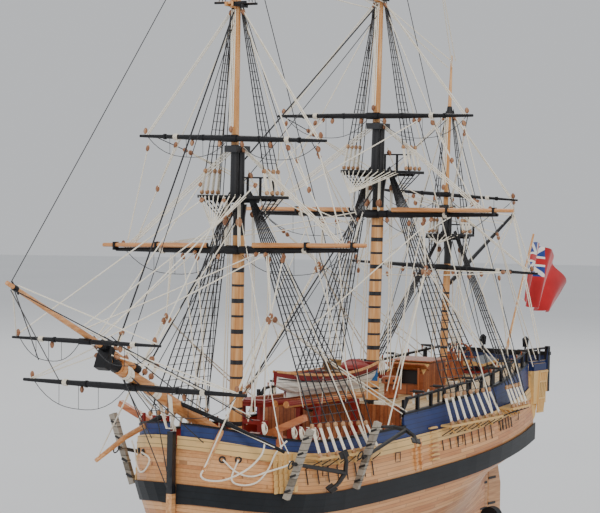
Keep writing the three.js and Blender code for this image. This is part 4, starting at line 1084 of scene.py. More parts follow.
# How far each footrope hangs under its yard
FOOTROPE_DROPS = {"fore_yard": 15.0, "main_yard": 15.0, "main_topsail_yard": 15.0, "fore_topsail_yard": 12.0,
                  "mizzen_topsail_yard": 12.0, "fore_topgallant_yard": 8.0, "main_topgallant_yard": 8.0}
for name, (mast, z, half, r, ahead) in YARDS.items():
    m = MASTS[mast]
    if name in COURSES or name == "crossjack_yard":
        lift_z = m["head"]
    else:
        lift_z = m["cross"] - 4 if "topsail" in name else m["truck"] - 30
    for side in (1, -1):
        if name in FOOTROPE_DROPS:
            footrope(yard_at(name, side, 0.92, -r * 0.5), yard_at(name, side, 0.07, -r - 1.0),
                     FOOTROPE_DROPS[name], 1.6, lambda x, y: (x - 1.0, y, yard_at(name, 1, y / half)[2]))
        top_at = mast_at(mast, lift_z, ahead * 0.6, side * 4.0)
        for k in range(3 if half > 100 else (2 if half > 60 else 1)):
            arm = yard_at(name, side, 0.93 - 0.022 * k, r * 0.4)
            lift_runs.append([arm, (top_at[0] - 0.9 * k, top_at[1], top_at[2] - 1.6 * k)])
        start, after = yard_at(name, side, 0.58), yard_at(name, side, 0.58 + 0.9 / half)
        lashing(start, r * 0.95, [q - p for p, q in zip(start, after)])
        for t, lift in ((0.94, r + 1.6), (0.42, -r - 1.8), (0.12, -r - 1.8)):
            blocks.append((yard_at(name, side, t, lift), Euler((0, math.radians(12 * side), 0))))
        turn = Euler((math.radians(35 * side), 0, 0))
        blocks.append(((top_at[0], top_at[1] + side * 1.0, top_at[2] - 2.6), turn))
for (distance, half, r, lift), drop in zip(HEAD_YARDS, (16.5, 13.0)):
    x, _, z = on_bowsprit(distance, lift)
    for side in (1, -1):
        end = side * half * 0.92
        footrope((x, end, z), (x, side * 6.0, z - 2), drop, 1.5, lambda _, y: (x - 1.2, y, z))
        blocks += [((x, end, z + r + 1.6), UPRIGHT), ((x - 1, end * 0.5, z - r - 1.8), UPRIGHT)]
        lashing((x, side * half * 0.62, z), r * 0.95, (0.0, 0.9, 0.0))
thread("footropes", foot_runs, 0.5)
thread("stirrups", stirrup_runs, 0.36)
thread("yard_lifts", lift_runs, 0.9, CREAM_LINE)
thread("yard_lashings", lashings, 0.8, CREAM_LINE)

# Running rigging: from a yard or sail line's block to where it belays
running = []


def both(*places, drop=0.0):
    """One line and its fellow on the other side."""
    for side in (1, -1):
        flipped = [flip(place, side) for place in places]
        running.append(sag(*flipped, drop, 8) if drop else flipped)


def port_end(name, t=0.96, lift=0.0):
    return yard_at(name, 1, t, lift)


# Braces: a tarred pendant with a block, then two parts of line
pendants = []


def brace(name, t, target, pendant=27.0):
    for side in (1, -1):
        arm = Vector(yard_at(name, side, t))
        end = Vector(flip(target, side))
        way = (end - arm).normalized()
        knot = arm + way * pendant
        pendants.append([tuple(arm), tuple(knot)])
        blocks.append((along(knot, way, 1.8), lean_to(arm, end)))
        running.append(sag(along(knot, way, 3.0), tuple(end), 1.0, 8))
        running.append(sag(along(knot, way, 3.0), (end.x + 5.0, end.y, end.z - 6.0), 1.6, 8))


SPANKER_PEAK = (-276.5, 0.0, 262.0)
brace("fore_yard", 0.95, (-6.0, 3.0, 264.0))
brace("fore_topsail_yard", 0.84, (4.0, 3.0, 255.0))
brace("fore_topgallant_yard", 0.95, mast_at("main", 428, 8, 3), 14.0)
brace("main_yard", 0.95, (-222.0, 50.0, 142.0))
brace("main_topsail_yard", 0.95, mast_at("mizzen", 268, 4, 3), 24.0)
brace("main_topgallant_yard", 0.95, mast_at("mizzen", 390, 4, 2), 14.0)
brace("crossjack_yard", 0.95, mast_at("main", 222, -4, 6), 20.0)
brace("mizzen_topsail_yard", 0.95, (-276.5, 0.6, 262.0), 18.0)
# Course clews: lines up to the yard, tack led forward and down, two sheets led aft
for yard, clew, tack, sheet in (
        ("fore_yard", (173.0, 34.2, 190.6), (267.4, 43.6, 94.8), (31.0, 65.4, 117.0)),
        ("fore_yard", (173.0, -54.5, 186.6), (267.4, -43.6, 94.8), (31.0, -65.4, 117.0)),
        ("main_yard", (-27.0, 48.0, 220.7), (63.0, 66.8, 107.5), (-139.0, 59.0, 140.0)),
        ("main_yard", (-27.0, -48.0, 220.7), (63.0, -66.8, 107.5), (-139.0, -59.0, 140.0))):
    x, y, z = clew
    side = 1 if y > 0 else -1
    over = yard_at(yard, side, abs(y) / YARDS[yard][2])[2] - 3.5
    for shift in (-1.3, 1.3):
        running.append([clew, (x + shift, y - side * 4.0, over)])
    running += [[clew, tack], [(x + 1.0, y, z + 1.5), (tack[0] - 1.4, tack[1], tack[2] + 1.4)]]
    running.append(sag(clew, sheet, 1.5, 8))
    running.append(sag((x - 1.0, y, z + 1.0), (sheet[0] + 7.0, sheet[1], sheet[2] - 1.0), 2.2, 8))
    blocks += [((x, y, z + 1.5), UPRIGHT), ((x - 0.6, y - side * 3.0, z - 1.5), UPRIGHT)]
# Topsail clews: block half way down, then the sheet to the lower yard's arm
for mast in ("fore", "main"):
    upper, lower = f"{mast}_topsail_yard", f"{mast}_yard"
    for side in (1, -1):
        band = yard_at(upper, side, 0.58, -2)
        arm = yard_at(lower, side, 0.84, 3)
        knot = between(band, arm, 0.46)
        running += [[band, knot, arm], [knot, mast_at(mast, MASTS[mast]["cross"] - 10, 4, side * 3)]]
        blocks.append((knot, UPRIGHT))
    both(port_end(upper, 0.9, -2), port_end(lower, 0.9, 2))
both(port_end("mizzen_topsail_yard", 0.9, -2), port_end("crossjack_yard", 0.94, 2))
both(port_end("mizzen_topsail_yard", 0.4, -2), mast_at("mizzen", 160, 4, 6))
# Lines from the lower yards down to the deck, then bowlines forward
for yard, t, lift, place in (
        ("fore_yard", 0.42, -3, (178.0, 20.0, 118.0)),
        ("fore_yard", 0.3, -3, (164.0, 24.0, 118.0)),
        ("main_yard", 0.42, -3, (-12.0, 24.0, 127.0)),
        ("main_yard", 0.3, -3, (-34.0, 24.0, 127.0)),
        ("crossjack_yard", 0.3, -2, (-138.0, 18.0, 148.0)),
        ("crossjack_yard", 0.6, -2, (-170.0, 50.0, 143.0)),
        ("fore_yard", 0.3, -2, on_bowsprit(90, 11, 3)),
        ("fore_topsail_yard", 0.3, -30, on_bowsprit(91, 12, 2)),
        ("main_yard", 0.5, -2, mast_at("fore", 140, -5, 4)),
        ("main_topsail_yard", 0.5, -2, mast_at("fore", 262, -6, 8)),
        ("mizzen_topsail_yard", 0.5, -2, mast_at("main", 232, -5, 8))):
    both(port_end(yard, t, lift), place)
# Halyards and burton tackles beside the masts: x of their channel, heights of the tye block and the pins
for name, channel_x, tye, pin_z in (("fore", 104.0, 317.0, 122), ("main", -92.0, 341.0, 142),
                                    ("mizzen", -150.0, 281.0, 142)):
    m = MASTS[name]
    out = gang_lines(name)[3] - 1.5
    foot_z = sheer_z(channel_x) + 1.5
    both(mast_at(name, m["cross"] - 5, 6, 3), (channel_x, out, foot_z))
    both(mast_at(name, m["top"] + 20, -3, 5), (channel_x + 12, out, foot_z))
    for shift in (-1.4, 0.0, 1.4):
        running.append([mast_at(name, m["cross"] - 5, 11.6, shift), mast_at(name, tye + 6, 12.4, shift)])
    blocks.append((mast_at(name, tye + 4.2, 12.6), UPRIGHT))
    for shift in (0.0, 2.6):
        both(mast_at(name, m["top"] - 7, -3, 9 + shift * 0.5), mast_at(name, pin_z, -4, 11 + shift))
# Jeers: two blocks ahead of each lower mast, between the top and the course yard
jeer_blocks = []
JEER_OUT = 5.4
for name, z in (("fore", 256.4), ("main", 271.3)):
    yard = f"{name}_yard"
    for side in (1, -1):
        x, y, _ = mast_at(name, z, 8.6, side * JEER_OUT)
        jeer_blocks.append(((x, y, z), UPRIGHT))
        arm = yard_at(yard, side, JEER_OUT / YARDS[yard][2])
        for shift in (-1.2, 0.0, 1.2):
            low = (x + shift, y, z)
            running.append([low, mast_at(name, MASTS[name]["top"] - 1.5, 8.6 + shift, y)])
            running.append([low, (arm[0] + shift, arm[1], arm[2] + 1.5)])
copies(BLOCK, "jeer_blocks", jeer_blocks, BLOCK_WOOD, 1.7, smooth=50)
# Tackle on the main stay over the hatch, and the spanker's gear
tackle = (118.8, 0.0, 187.0)
running += [[(108.0, 0.0, 171.3), tackle], [tackle, (45.5, 14.0, 148.0)],
            [(119.6, 0.6, 186.0), (-8.0, 20.0, 129.0)], [(118.0, -0.8, 188.0), (100.0, -38.0, 120.0)]]
blocks.append((tackle, UPRIGHT))
both((-58.8, 30.0, 221.1), (-29.3, 20.0, 127.0))
both((-58.8, 30.0, 221.1), mast_at("main", 270, -4, 5))
# Jib and staysail gear, braces of the head yards, then the spanker's vangs
both(on_bowsprit(52, -6, 84), on_bowsprit(84, 9, 4.6))
both(on_bowsprit(52, -6, 82), on_bowsprit(84, 3, 4.6))
both(on_bowsprit(108, 4, 56), on_bowsprit(186, 9, 2))
both(on_bowsprit(108, 4, 56), (194.0, 8.0, 273.5))
running += [[on_bowsprit(110, 12), (190.0, 8.0, 262.0)], [on_bowsprit(108, 11), (173.0, 23.7, 235.5)],
            [mast_at("fore", 255, 5), on_bowsprit(41, 9)]]
both(on_bowsprit(120, 9, 2), (206.0, 40.0, 125.0))
for k in (0, 5, 10):
    running.append([(SPANKER_PEAK[0] + 3 * k, 0, SPANKER_PEAK[2] - 1.5 * k), mast_at("mizzen", 268 - k, -3)])
both(SPANKER_PEAK, (-252.0, 40.0, 148.0), drop=1.0)
both((-275.0, 0.0, 262.0), (-232.0, 48.0, 146.0), drop=1.0)
both((-158.0, 3.0, 208.0), mast_at("mizzen", 160, -4, 6))
running.append([(-316.5, 0, 244.5), (-270.0, 1.5, 150.0)])
thread("running_rigging", running, 0.95, CREAM_LINE)
thread("brace_pendants", pendants, 0.7)
for run in running:
    a, b = Vector(run[0]), Vector(run[-1])
    high, low = (a, b) if a.z > b.z else (b, a)
    if (b - a).length > 60 and abs(high.y) > 3:
        blocks.append((along(high, (low - high).normalized(), 4.0), lean_to(low, high)))
copies(BLOCK, "rigging_blocks", blocks, BLOCK_WOOD, 1.1, smooth=50)


# Sides of the hull
UP_THE_SIDE = (0, 1, 0)
steps = begin("entry_steps")
for side in (1, -1):
    for i in range(8):
        x, z = -8.0, mix(78.5, 102.0, i / 7)
        y = half_breadth(x, z)
        block_box((x, side * (y + 0.9), z), (12.0, 2.0, 1.1))
        block_box((x, side * (y + 1.7), z + 0.8), (9.0, 0.6, 0.7))
done(steps, CREAM, bevel=0.15)

fenders = begin("side_fenders")
for side in (1, -1):
    for x in (14.0, 22.0):
        for i in range(8):
            za, zb = mix(73.0, 96.0, i / 8), mix(73.0, 96.0, (i + 1) / 8)
            plank((x, side * (half_breadth(x, za) + 0.9), za),
                  (x, side * (half_breadth(x, zb) + 0.9), zb + 0.05), 2.6, 1.8, UP_THE_SIDE)
done(fenders, HULL_WOOD, bevel=0.2)

ports = begin("port_lids")
for side in (1, -1):
    for x, dz in ((150.0, -12.0), (48.0, -12.5), (-52.0, -12.5), (-128.0, -13.0), (-170.0, -13.0)):
        z = sheer_z(x) + dz
        y = half_breadth(x, z) + 0.25
        lean = math.degrees(math.atan(half_breadth(x + 1, z) - half_breadth(x, z)))
        for shift in (-3.6, 3.6):
            block_box((x + shift, side * y, z), (0.35, 0.5, 7.0), (0, 0, side * lean))
        for shift in (-3.4, 3.4):
            block_box((x, side * y, z + shift), (7.4, 0.5, 0.35), (0, 0, side * lean))
done(ports, IRON)


def quarter_x(t, z):
    """Place across a quarter piece, which leans aft and grows wider towards its head."""
    h = (z - 96.0) / 34.0
    return mix(mix(-236.0, -239.5, h), mix(-246.0, -253.6, h), t)


def quarter_bar(side, t, low, high, out, width, thick):
    ends = [(quarter_x(t, z), side * out, z) for z in (low, high)]
    plank(*ends, width, thick, UP_THE_SIDE)


QUARTER_OUT = 46.0
quarter = begin("quarter_pieces")
for side in (1, -1):
    for t in (0.0, 0.25, 0.5, 0.75, 1.0):
        quarter_bar(side, t, 96.0, 130.0, QUARTER_OUT, 1.3, 1.6)
    for z in (96.0, 107.5, 121.5, 130.0):
        x0, x1 = quarter_x(0, z), quarter_x(1, z)
        block_box(((x0 + x1) / 2, side * QUARTER_OUT, z), (x0 - x1 + 1.6, 1.8, 1.5))
done(quarter, CREAM, bevel=0.2)

STERN_WINDOWS, WINDOW_Z = (-30.0, -15.0, 0.0, 15.0, 30.0), 129.0
panes = begin("quarter_and_stern_panes")
for side in (1, -1):
    for t in (0.125, 0.375, 0.625, 0.875):
        quarter_bar(side, t, 108.2, 120.8, QUARTER_OUT - 0.25, 1.9, 0.5)
for y in STERN_WINDOWS:
    block_box((-262.3, y, WINDOW_Z), (0.8, 9.0, 9.0))
done(panes, DARK_GLASS)

bars = begin("stern_window_frames")
for y in STERN_WINDOWS:
    for dy, width in ((-4.9, 1.2), (-1.6, 0.7), (1.6, 0.7), (4.9, 1.2)):
        block_box((-262.9, y + dy, WINDOW_Z), (0.8, width, 10.6))
    for dz, width in ((-5.0, 1.3), (0.0, 0.7), (5.0, 1.3)):
        block_box((-262.9, y, WINDOW_Z + dz), (0.8, 10.6, width))
for z, half in ((121.0, 43.0), (137.5, 42.5)):
    block_box((-263.0, 0.0, z), (1.4, 2 * half, 2.0))
done(bars, CREAM, bevel=0.15)

# The straps end short of the sternpost, so that the rudder swings free
STRAP_FORE = -234.2
irons = begin("rudder_irons")
for z, aft in ((14.0, -247.5), (36.0, -247.5), (58.0, -245.8), (80.0, -244.4)):
    for side in (1, -1):
        block_box(((aft + STRAP_FORE) / 2, side * 2.2, z), (STRAP_FORE - aft, 0.6, 2.0))
done(irons, IRON, body="rudder", bevel=0.1)
braces = begin("rudder_braces")
for z in (11.0, 33.0, 55.0):
    for side in (1, -1):
        block_box((-224.0, side * (half_breadth(-224, z) + 0.3), z), (13.0, 0.5, 2.0))
done(braces, IRON, bevel=0.1)


# Bow: hawse holes, cables, anchor linings, stocks' irons and the fish davit
HAWSE_Z = 97.0
hawse = begin("hawse_holes")
for side in (1, -1):
    for x in (222.0, 229.0):
        slope = math.atan2(half_breadth(x - 1, HAWSE_Z) - half_breadth(x + 1, HAWSE_Z), 2)
        ring((x, side * (half_breadth(x, HAWSE_Z) + 0.3), HAWSE_Z), 1.9, 0.6, (math.pi / 2, 0, -side * slope), 16)
done(hawse, IRON, smooth=50)

def cable(side, along_skin, *ends):
    """A cable that lies on the bow from its hawse hole, then leaves it for the anchor."""
    return curl([skin(x, z, side, out) for x, z, out in along_skin] + list(ends))


cables = [
    cable(1, ((228.6, 97, 1.0), (223.5, 89, 1.6), (215.8, 85.6, 1.8), (205.5, 88.4, 1.8)),
          (198.6, 66, 93), (197.4, 66.6, 96)),
    cable(1, ((222.0, 97, 1.0), (225.4, 84, 1.8), (221.0, 80.0, 2.0), (212.8, 81.6, 2.0), (205.5, 90.0, 2.4),
              (200.0, 101.0, 3.6)), (195.5, 63, 109)),
    cable(-1, ((228.6, 97, 1.0), (234.4, 94, 1.4), (233.0, 86.5, 1.6), (228.5, 83.5, 1.6), (221.5, 90, 1.8),
               (213, 94, 1.8)), (199.0, -64, 100)),
    cable(1, (), (267.4, 43.6, 94.8), (270.5, 43.6, 91.0), (264.0, 44.5, 87.6), (248.7, 48.0, 86.5),
          (229.8, 53.0, 91.9), (222.9, 60.0, 101.6), (219.6, 60.5, 109.9)),
]
thread("anchor_cables", cables, 1.3, CREAM_LINE)

lining = begin("anchor_linings")
for side in (1, -1):
    for x in (183.5, 187.5, 191.5, 195.5, 199.5):
        for i in range(6):
            za, zb = mix(73.0, 99.0, i / 6), mix(73.0, 99.0, (i + 1) / 6)
            plank(skin(x, za, side, 0.9), skin(x, zb + 0.05, side, 0.9), 3.9, 1.2, UP_THE_SIDE)
done(lining, CREAM)

# Iron hoops and the ring on each anchor's stock: its x, and the places of its two ends
for name, x, ends in (("port_bower", 196.9, ((64.0, 69.5), (82.5, 118.0))),
                      ("starboard_bower", 196.9, ((-64.0, 69.5), (-82.5, 118.0))),
                      ("port_sheet", 118.4, ((73.5, 69.7), (90.3, 117.8)))):
    hoops = begin(f"{name}_stock_hoops")
    for t in (0.12, 0.34, 0.66, 0.88):
        plank((x, *between(*ends, t - 0.015)), (x, *between(*ends, t + 0.015)), 5.0, 5.0)
    y, z = between(*ends, 0.5)
    ring((x + 8.5, y - math.copysign(0.5, y), z + 0.5), 3.0, 0.5, (math.radians(70), 0, 0), 18)
    done(hoops, IRON, bevel=0.1)


davit = begin("fish_davit")
rod((236.5, 3.0, 133.5), (226.0, 36.0, 120.5), 1.5, 1.6, 10)
rod((226.0, 36.0, 120.5), (216.0, 74.0, 104.0), 1.6, 1.2, 10)
rod((226.6, 34.5, 121.1), (225.4, 37.5, 119.9), 1.95, sides=10)
done(davit, BLACK, smooth=40)
davit_runs = [[(217.0, 72.0, 105.5), mast_at("fore", 256, 4, 5)], [(219.0, 68.0, 107.0), (234.0, 6.0, 131.0)],
              [(214.0, 76.0, 103.0), (205.0, 60.0, 119.0)]]
thread("davit_guys", davit_runs, 0.7, CREAM_LINE)


# Deck gear
def boat_rim(t, out=0.0, lift=0.0):
    """The boat's rim at t, from its stern to its stem: place, half breadth and height."""
    spread = 1 - 0.3 * (1 - 2 * t) ** 2 if t < 0.5 else 1 - (2 * t - 1) ** 2.6
    height = BOAT_KEEL + 15 + 5 * (2 * t - 1) ** 2 + lift
    return BOAT_STERN + t * BOAT_LENGTH, max(0.6, 16.5 * spread) + out, height


def round_the_boat(reach, out, lift):
    rims = [boat_rim(i / 28 * reach, out, lift) for i in range(29)]
    return [[(x, BOAT_Y + side * half, z) for x, half, z in rims] for side in (1, -1)]


gunwales = [round_the_boat(0.98, out, lift) for out, lift in ((0.0, 0.3), (-0.6, 0.5), (0.1, -0.4))]
thread("boat_gunwale", [run[k] for k in (0, 1) for run in gunwales], 1.1, SPAR)
thread("boat_rubbing_strake", round_the_boat(0.97, -0.55, -5.0), 0.8, BLACK)
stern_board = begin("boat_transom")
block_box((6.7, BOAT_Y, BOAT_KEEL + 12.0), (0.8, 21.0, 13.0))
done(stern_board, BOAT_BLUE, bevel=0.2)
gripes = []
for x in (30.0, 62.0, 96.0, 122.0):
    half = boat_rim((x - BOAT_STERN) / BOAT_LENGTH, 0.9)[1]
    gripes.append([(x, BOAT_Y - 16, 125.0), (x, BOAT_Y - half, 146.5), (x + 1, BOAT_Y + half, 146.8),
                   (x, BOAT_Y + 15, 124.5)])
thread("boat_lashings", gripes, 0.6, CREAM_LINE)

cover = begin("boat_cover")
bpy.ops.mesh.primitive_uv_sphere_add(segments=24, ring_count=12, radius=1.0, location=spot(26, BOAT_Y, 147.0),
                                     scale=(17 * MM, 11.5 * MM, 4.6 * MM))
bpy.ops.mesh.primitive_uv_sphere_add(segments=20, ring_count=10, radius=1.0, scale=(8 * MM, 8 * MM, 3.6 * MM),
                                     location=spot(20, BOAT_Y - 2, 149.5))
done(cover, DECK_RED, smooth=60)
basket = begin("boat_basket")
rod((57.0, BOAT_Y, 145.0), (57.0, BOAT_Y, 153.5), 6.2, 7.0, 20)
rod((57.0, BOAT_Y, 153.4), (57.0, BOAT_Y, 154.4), 7.5, 7.3, 20)
done(basket, WICKER, bevel=0.3, smooth=40)

cask = begin("deck_cask")
for radius, depth in ((5.4, 13.0), (6.4, 6.0)):
    bpy.ops.mesh.primitive_cylinder_add(
        vertices=20, radius=radius * MM, depth=depth * MM, location=spot(53, -4, 120.5),
        rotation=(0, math.pi / 2, 0))
done(cask, GREEN, bevel=0.3, smooth=40)

BELL_X = 141.5
bell = begin("ship_bell")
rod((BELL_X, 0, 124.8), (BELL_X, 0, 121.2), 1.2, 2.6, 16)
rod((BELL_X, 0, 121.3), (BELL_X, 0, 120.7), 3.0, sides=16)
done(bell, BRASS, smooth=40)
roof = begin("belfry_roof")
block_box((BELL_X, 0, 128.0), (12.5, 27.0, 1.2))
block_box((BELL_X, 0, 129.0), (9.5, 23.0, 1.2))
done(roof, DECK_RED, bevel=0.3)

windows = begin("skylight_panes")
for side in (1, -1):
    for x in (-203.5, -210.5, -217.5):
        block_box((x, side * 12.1, quarterdeck_z(x) + 5.0), (5.4, 0.5, 4.0))
for y in (-8.0, -2.7, 2.7, 8.0):
    block_box((-196.9, y, quarterdeck_z(-197) + 5.0), (0.5, 4.2, 4.0))
done(windows, DARK_GLASS)

trim = begin("companion_trim")
sill_z = quarterdeck_z(-84)
for side in (1, -1):
    block_box((-83.8, side * 12.6, sill_z + 12), (1.2, 1.6, 20.0))
block_box((-88.0, 0, sill_z + 22.5), (10.5, 36.0, 1.2), (0, -30, 0))
block_box((-108.0, 0, quarterdeck_z(-108) + 25.4), (30.0, 36.5, 1.2), (0, 2.2, 0))
done(trim, BROWN, bevel=0.25)

CAPSTAN_X = -62
drum_cap = begin("capstan_bar_holes")
for i in range(8):
    a = 2 * math.pi * i / 8
    x, y = CAPSTAN_X + 7.7 * math.cos(a), 7.7 * math.sin(a)
    block_box((x, y, quarterdeck_z(CAPSTAN_X) + 0.6 + 14.0), (0.8, 1.8, 1.8), (0, 0, math.degrees(a)))
done(drum_cap, BLACK, body="capstan")

LANTERN_X, LANTERNS_Y = -263.0, (-20.5, 20.5)
lantern_frames = begin("stern_lanterns")
for y in LANTERNS_Y:
    rod((LANTERN_X + 1.0, y, 146.0), (LANTERN_X, y, 149.0), 0.8)
    rod((LANTERN_X, y, 148.8), (LANTERN_X, y, 149.6), 2.7)
    rod((LANTERN_X, y, 155.8), (LANTERN_X, y, 158.0), 3.1, 0.7)
    for i in range(8):
        c, s = math.cos(2 * math.pi * i / 8), math.sin(2 * math.pi * i / 8)
        foot, head = ((LANTERN_X + r * c, y + r * s, z) for r, z in ((2.2, 149.4), (2.8, 156.0)))
        rod(foot, head, 0.3, sides=5)
done(lantern_frames, BLACK)
lantern_glass = begin("lantern_glass")
for y in LANTERNS_Y:
    rod((LANTERN_X, y, 149.4), (LANTERN_X, y, 155.9), 1.95, 2.55)
done(lantern_glass, DARK_GLASS, bevel=0.1)


def rail_place(x, side, inset, lift):
    """A place inside the bulwark's top edge and above it."""
    z = bulwark_z(x)
    return x, side * (half_breadth(x, z) - inset), z + lift


def rail_row(first, last, count, side, inset, lift):
    return [rail_place(mix(first, last, i / (count - 1)), side, inset, lift) for i in range(count)]


swivels = begin("swivel_guns")
for side in (1, -1):
    for gun_x in (10.0, -22.0, -70.0, -122.0, -160.0, -205.0):
        x, y, z = rail_place(gun_x, side, 1.0, RAIL_GAP + 1.5)
        rod((x, y, z - 10.0), (x, y, z + 1.0), 1.1, 0.9)
        rod((x, y - side * 4.5, z + 2.3), (x, y + side * 4.8, z + 2.6), 1.25, 0.8, 10)
        rod((x, y - side * 4.5, z + 2.3), (x, y - side * 7.5, z + 2.0), 0.4, sides=6)
done(swivels, IRON, smooth=40)

pins = begin("belaying_pins")
for side in (1, -1):
    for x, y, z in rail_row(150.0, 52.0, 9, side, 0.9, 1.4):
        rod((x, y, z), (x, y, z + 3.4), 0.55, 0.8, 6)
    for x, y, z in rail_row(20.0, -200.0, 14, side, 0.9, RAIL_GAP + 1.4):
        rod((x, y, z), (x, y, z + 2.8), 0.5, 0.75, 6)
done(pins, BROWN)


def hank(top, right, foot, left):
    """One turn of a hanging coil of line."""
    return curl([top, right, foot, left, top], 4)


timberheads = begin("rail_timberheads")
head_coils = []
for side in (1, -1):
    for head_x in (205.5, 181.0, 173.5, 166.0, 158.5):
        x, y, z = rail_place(head_x, side, 2.0, 0.0)
        block_box((x, y, z + 4.8), (2.4, 2.4, 10.4))
        for k in range(4):
            out, half = y + side * (1.5 + 0.4 * k), 2.6 - 0.3 * k
            head_coils.append(hank((x, out - side * 1.5, z + 10.2), (x + half, out, z + 6.0),
                                   (x, out, z + 1.4 + 0.5 * k), (x - half, out, z + 6.0)))
done(timberheads, DECK_RED, bevel=0.25)
thread("rail_coils", head_coils, 0.9, CREAM_LINE)

coil_runs = []
for x, y in ((176, 14), (150, 54), (118, 56), (66, 60), (-22, 12), (-38, -12), (-48, 54), (-130, 50),
             (150, -54), (118, -56), (66, -60), (-48, -54), (-130, -50), (-140, 14)):
    base = deck_z(x) + 2.2 if x > BREAK_X else quarterdeck_z(x) + 0.8
    run = []
    for i in range(50):
        a = i / 50 * 2 * math.pi * 3.5
        r = 4.2 - 0.25 * math.sin(a / 7)
        run.append((x + r * math.cos(a), y + r * math.sin(a), base + i * 0.06))
    coil_runs.append(run)
thread("rope_coils", coil_runs, 0.9, CREAM_LINE)
hanks = []
for side in (1, -1):
    for rail_x, y, z in (*rail_row(150.0, 52.0, 9, side, 2.8, 3.0),
                         *rail_row(14.0, -190.0, 10, side, 2.6, RAIL_GAP + 3.0)):
        for x in (rail_x - 0.5, rail_x + 0.5):
            out = y - side * 0.4
            hanks.append(hank((x, y, z), (x + 1.3, out, z - 4), (x, out, z - 8), (x - 1.3, out, z - 4)))
    for foot in (mast_at("main", 150, -4.5, side * 3.5), mast_at("mizzen", 165, -4.5, side * 3.5)):
        for k in range(3):
            x, y, z = foot[0] - k * 1.2, foot[1] + side * k, foot[2]
            hanks.append(hank((x, y, z), (x + 1.5, y + side * 1.5, z - 6), (x, y + side, z - 13),
                              (x - 1.5, y + side * 0.6, z - 6)))
thread("belayed_coils", hanks, 0.6, CREAM_LINE)


# Ensign, hanging in folds from its staff
def ensign_finish():
    finish = Finish("ensign_cloth_dyed", rough=0.85, sheen=0.4)
    u, v, _ = finish.axes(finish.add("ShaderNodeUVMap", uv_map="cloth").outputs[0])
    canton_u, canton_v = u / 0.42, (v - 0.5) / 0.5
    inside = canton_u.under(1.0) * canton_v.over(0.0)
    du, dv = abs(canton_u - 0.5), abs(canton_v - 0.5)
    saltire = abs(du - dv).under(0.085)
    wide = (du * 1.45).least(dv)
    white_cross, red_cross = wide.under(0.17), wide.under(0.1)
    red = finish.ramp(finish.noise(26.0), (0.3, 0.7), ("9c1013", "d2232a"))
    field = finish.blend(saltire.most(white_cross), "1c3d8c", "f1eee6")
    jack = finish.blend(red_cross, field, "c01c22")
    finish.bump(finish.noise(420.0, detail=2.0), 0.25, 0.0002)
    return finish.colour(finish.blend(inside, red, jack))


HOIST = 53.5
TOP_EDGE = [(-314.8, 238.0), (-331.0, 237.4), (-348.0, 231.5), (-367.0, 220.5), (-384.0, 200.5)]
LOW_EDGE = [(-301.5, 186.5), (-316.0, 181.0), (-328.0, 178.6), (-341.0, 176.6), (-353.0, 175.5)]


def on_edge(edge, t):
    route = curl([(x, 0.0, z) for x, z in edge], 12)
    at = t * (len(route) - 1)
    i = min(int(at), len(route) - 2)
    return between(route[i], route[i + 1], at - i)


def make_ensign():
    clear_selection()
    bpy.ops.mesh.primitive_grid_add(x_subdivisions=72, y_subdivisions=40, size=1.0, location=(0, 0, 0))
    flag = bpy.context.object
    flag.name = "ensign_cloth"
    flag.data.name = "ensign_cloth"
    layer = flag.data.uv_layers.new(name="cloth")
    for loop in flag.data.loops:
        co = flag.data.vertices[loop.vertex_index].co
        layer.data[loop.index].uv = (co.x + 0.5, co.y + 0.5)
    for vertex in flag.data.vertices:
        u, v = vertex.co.x + 0.5, vertex.co.y + 0.5
        low, high = on_edge(LOW_EDGE, u), on_edge(TOP_EDGE, u)
        # Folds run down from the hoist's head and open towards the foot
        phase = 2 * math.pi * (2.3 * u + 0.35 * (1 - v))
        depth = min(1.0, u * 3.0) * (5.2 - 1.6 * v)
        swing = depth * (math.sin(phase) + 0.28 * math.sin(2 * phase + 0.8))
        vertex.co = spot(mix(low[0], high[0], v), swing, mix(low[2], high[2], v) + 0.8 * math.sin(phase))
    clear_selection()
    flag.select_set(True)
    bpy.context.view_layer.objects.active = flag
    step = flag.modifiers.new("cloth", "SOLIDIFY")
    step.thickness = 0.35 * MM
    step.offset = 0
    bpy.ops.object.modifier_apply(modifier="cloth")
    bpy.ops.object.shade_smooth_by_angle(angle=math.radians(60))
    dyed = ensign_finish()
    done(flag, dyed)
    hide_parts("ensign")
    area = sum(face.area for face in flag.data.polygons) / 2
    area / (HOIST * MM)


make_ensign()
staff_foot, staff_head = Vector((-267.5, 0.0, 143.8)), Vector((-317.6, 0.0, 245.8))
toggles = [[tuple(staff_foot.lerp(staff_head, t)), (x, 0.0, z)] for t, x, z in
           ((0.92, -314.6, 237.6), (0.46, -301.3, 187.0), (0.69, -308.0, 212.0))]
thread("ensign_toggles", toggles, 0.7, CREAM_LINE)
for pattern in (BLOCK, DEADEYE):
    bpy.data.objects.remove(pattern, do_unlink=True)


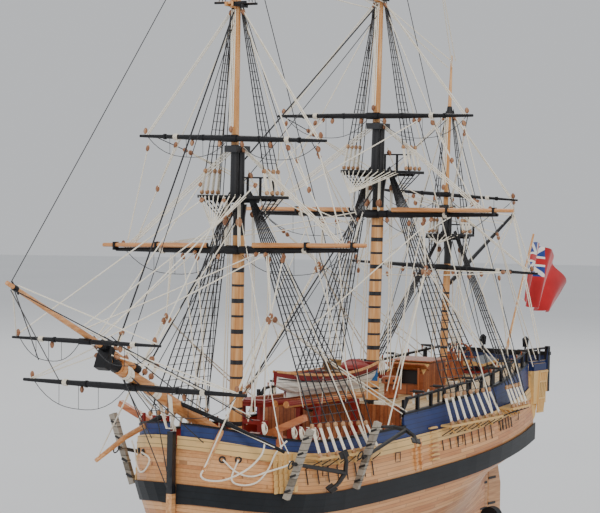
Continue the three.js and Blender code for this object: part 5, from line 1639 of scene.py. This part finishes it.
# Floor, light and camera
def studio():
    clear_selection()
    bpy.ops.mesh.primitive_circle_add(vertices=96, radius=9.0, fill_type="NGON", location=(0, 0, 0))
    floor = bpy.context.object
    floor.name = "studio_floor"
    finish = Finish("floor_paper", rough=0.9)
    soft = finish.noise(1.4, detail=2.0)
    floor.data.materials.append(finish.colour(finish.ramp(soft, (0.2, 0.8), ("e4e5e6", "eaebec"))))
    world = bpy.data.worlds.new("studio_world")
    bpy.context.scene.world = world
    world.use_nodes = True
    sky = world.node_tree.nodes["Background"]
    sky.inputs["Color"].default_value = (0.86, 0.88, 0.91, 1.0)
    sky.inputs["Strength"].default_value = 0.73
    for name, place, size, power, colour in (
            ("key", (2.2, 2.6, 2.4), 1.6, 62.0, (1.0, 0.97, 0.93)),
            ("fill", (2.8, -1.6, 1.6), 2.0, 22.0, (0.93, 0.96, 1.0)),
            ("rim", (-2.2, -1.0, 2.4), 1.6, 26.0, (1.0, 0.98, 0.95))):
        light = bpy.data.lights.new(name, "AREA")
        light.energy, light.size, light.color = power, size, colour
        lamp = bpy.data.objects.new(name, light)
        bpy.context.collection.objects.link(lamp)
        lamp.location = place
        lamp.rotation_euler = (Vector((0, 0, 0.25)) - Vector(place)).to_track_quat("-Z", "Y").to_euler()


# The camera's focal length in the photo's pixels, and its place in metres from midships on the keel
FOCAL, PHOTO_WIDTH, SENSOR = 2196.0, 600.0, 36.0
CAMERA_AT = Vector((1.46078 - MIDSHIPS * MM, 0.84609, 0.27438 + CRADLE * MM))


def photo_camera():
    data = bpy.data.cameras.new("photo_camera")
    data.sensor_width = SENSOR
    data.lens = FOCAL / PHOTO_WIDTH * SENSOR
    data.clip_start, data.clip_end = 0.05, 40.0
    camera = bpy.data.objects.new("photo_camera", data)
    bpy.context.collection.objects.link(camera)
    right = Vector((-0.52287, 0.85220, 0.01877))
    up = Vector((-0.01301, -0.02999, 0.99947))
    back = Vector((0.85231, 0.52235, 0.02677))
    turn = Matrix((right, up, back)).transposed().to_4x4()
    camera.matrix_world = Matrix.Translation(CAMERA_AT) @ turn
    bpy.context.scene.camera = camera


studio()
photo_camera()
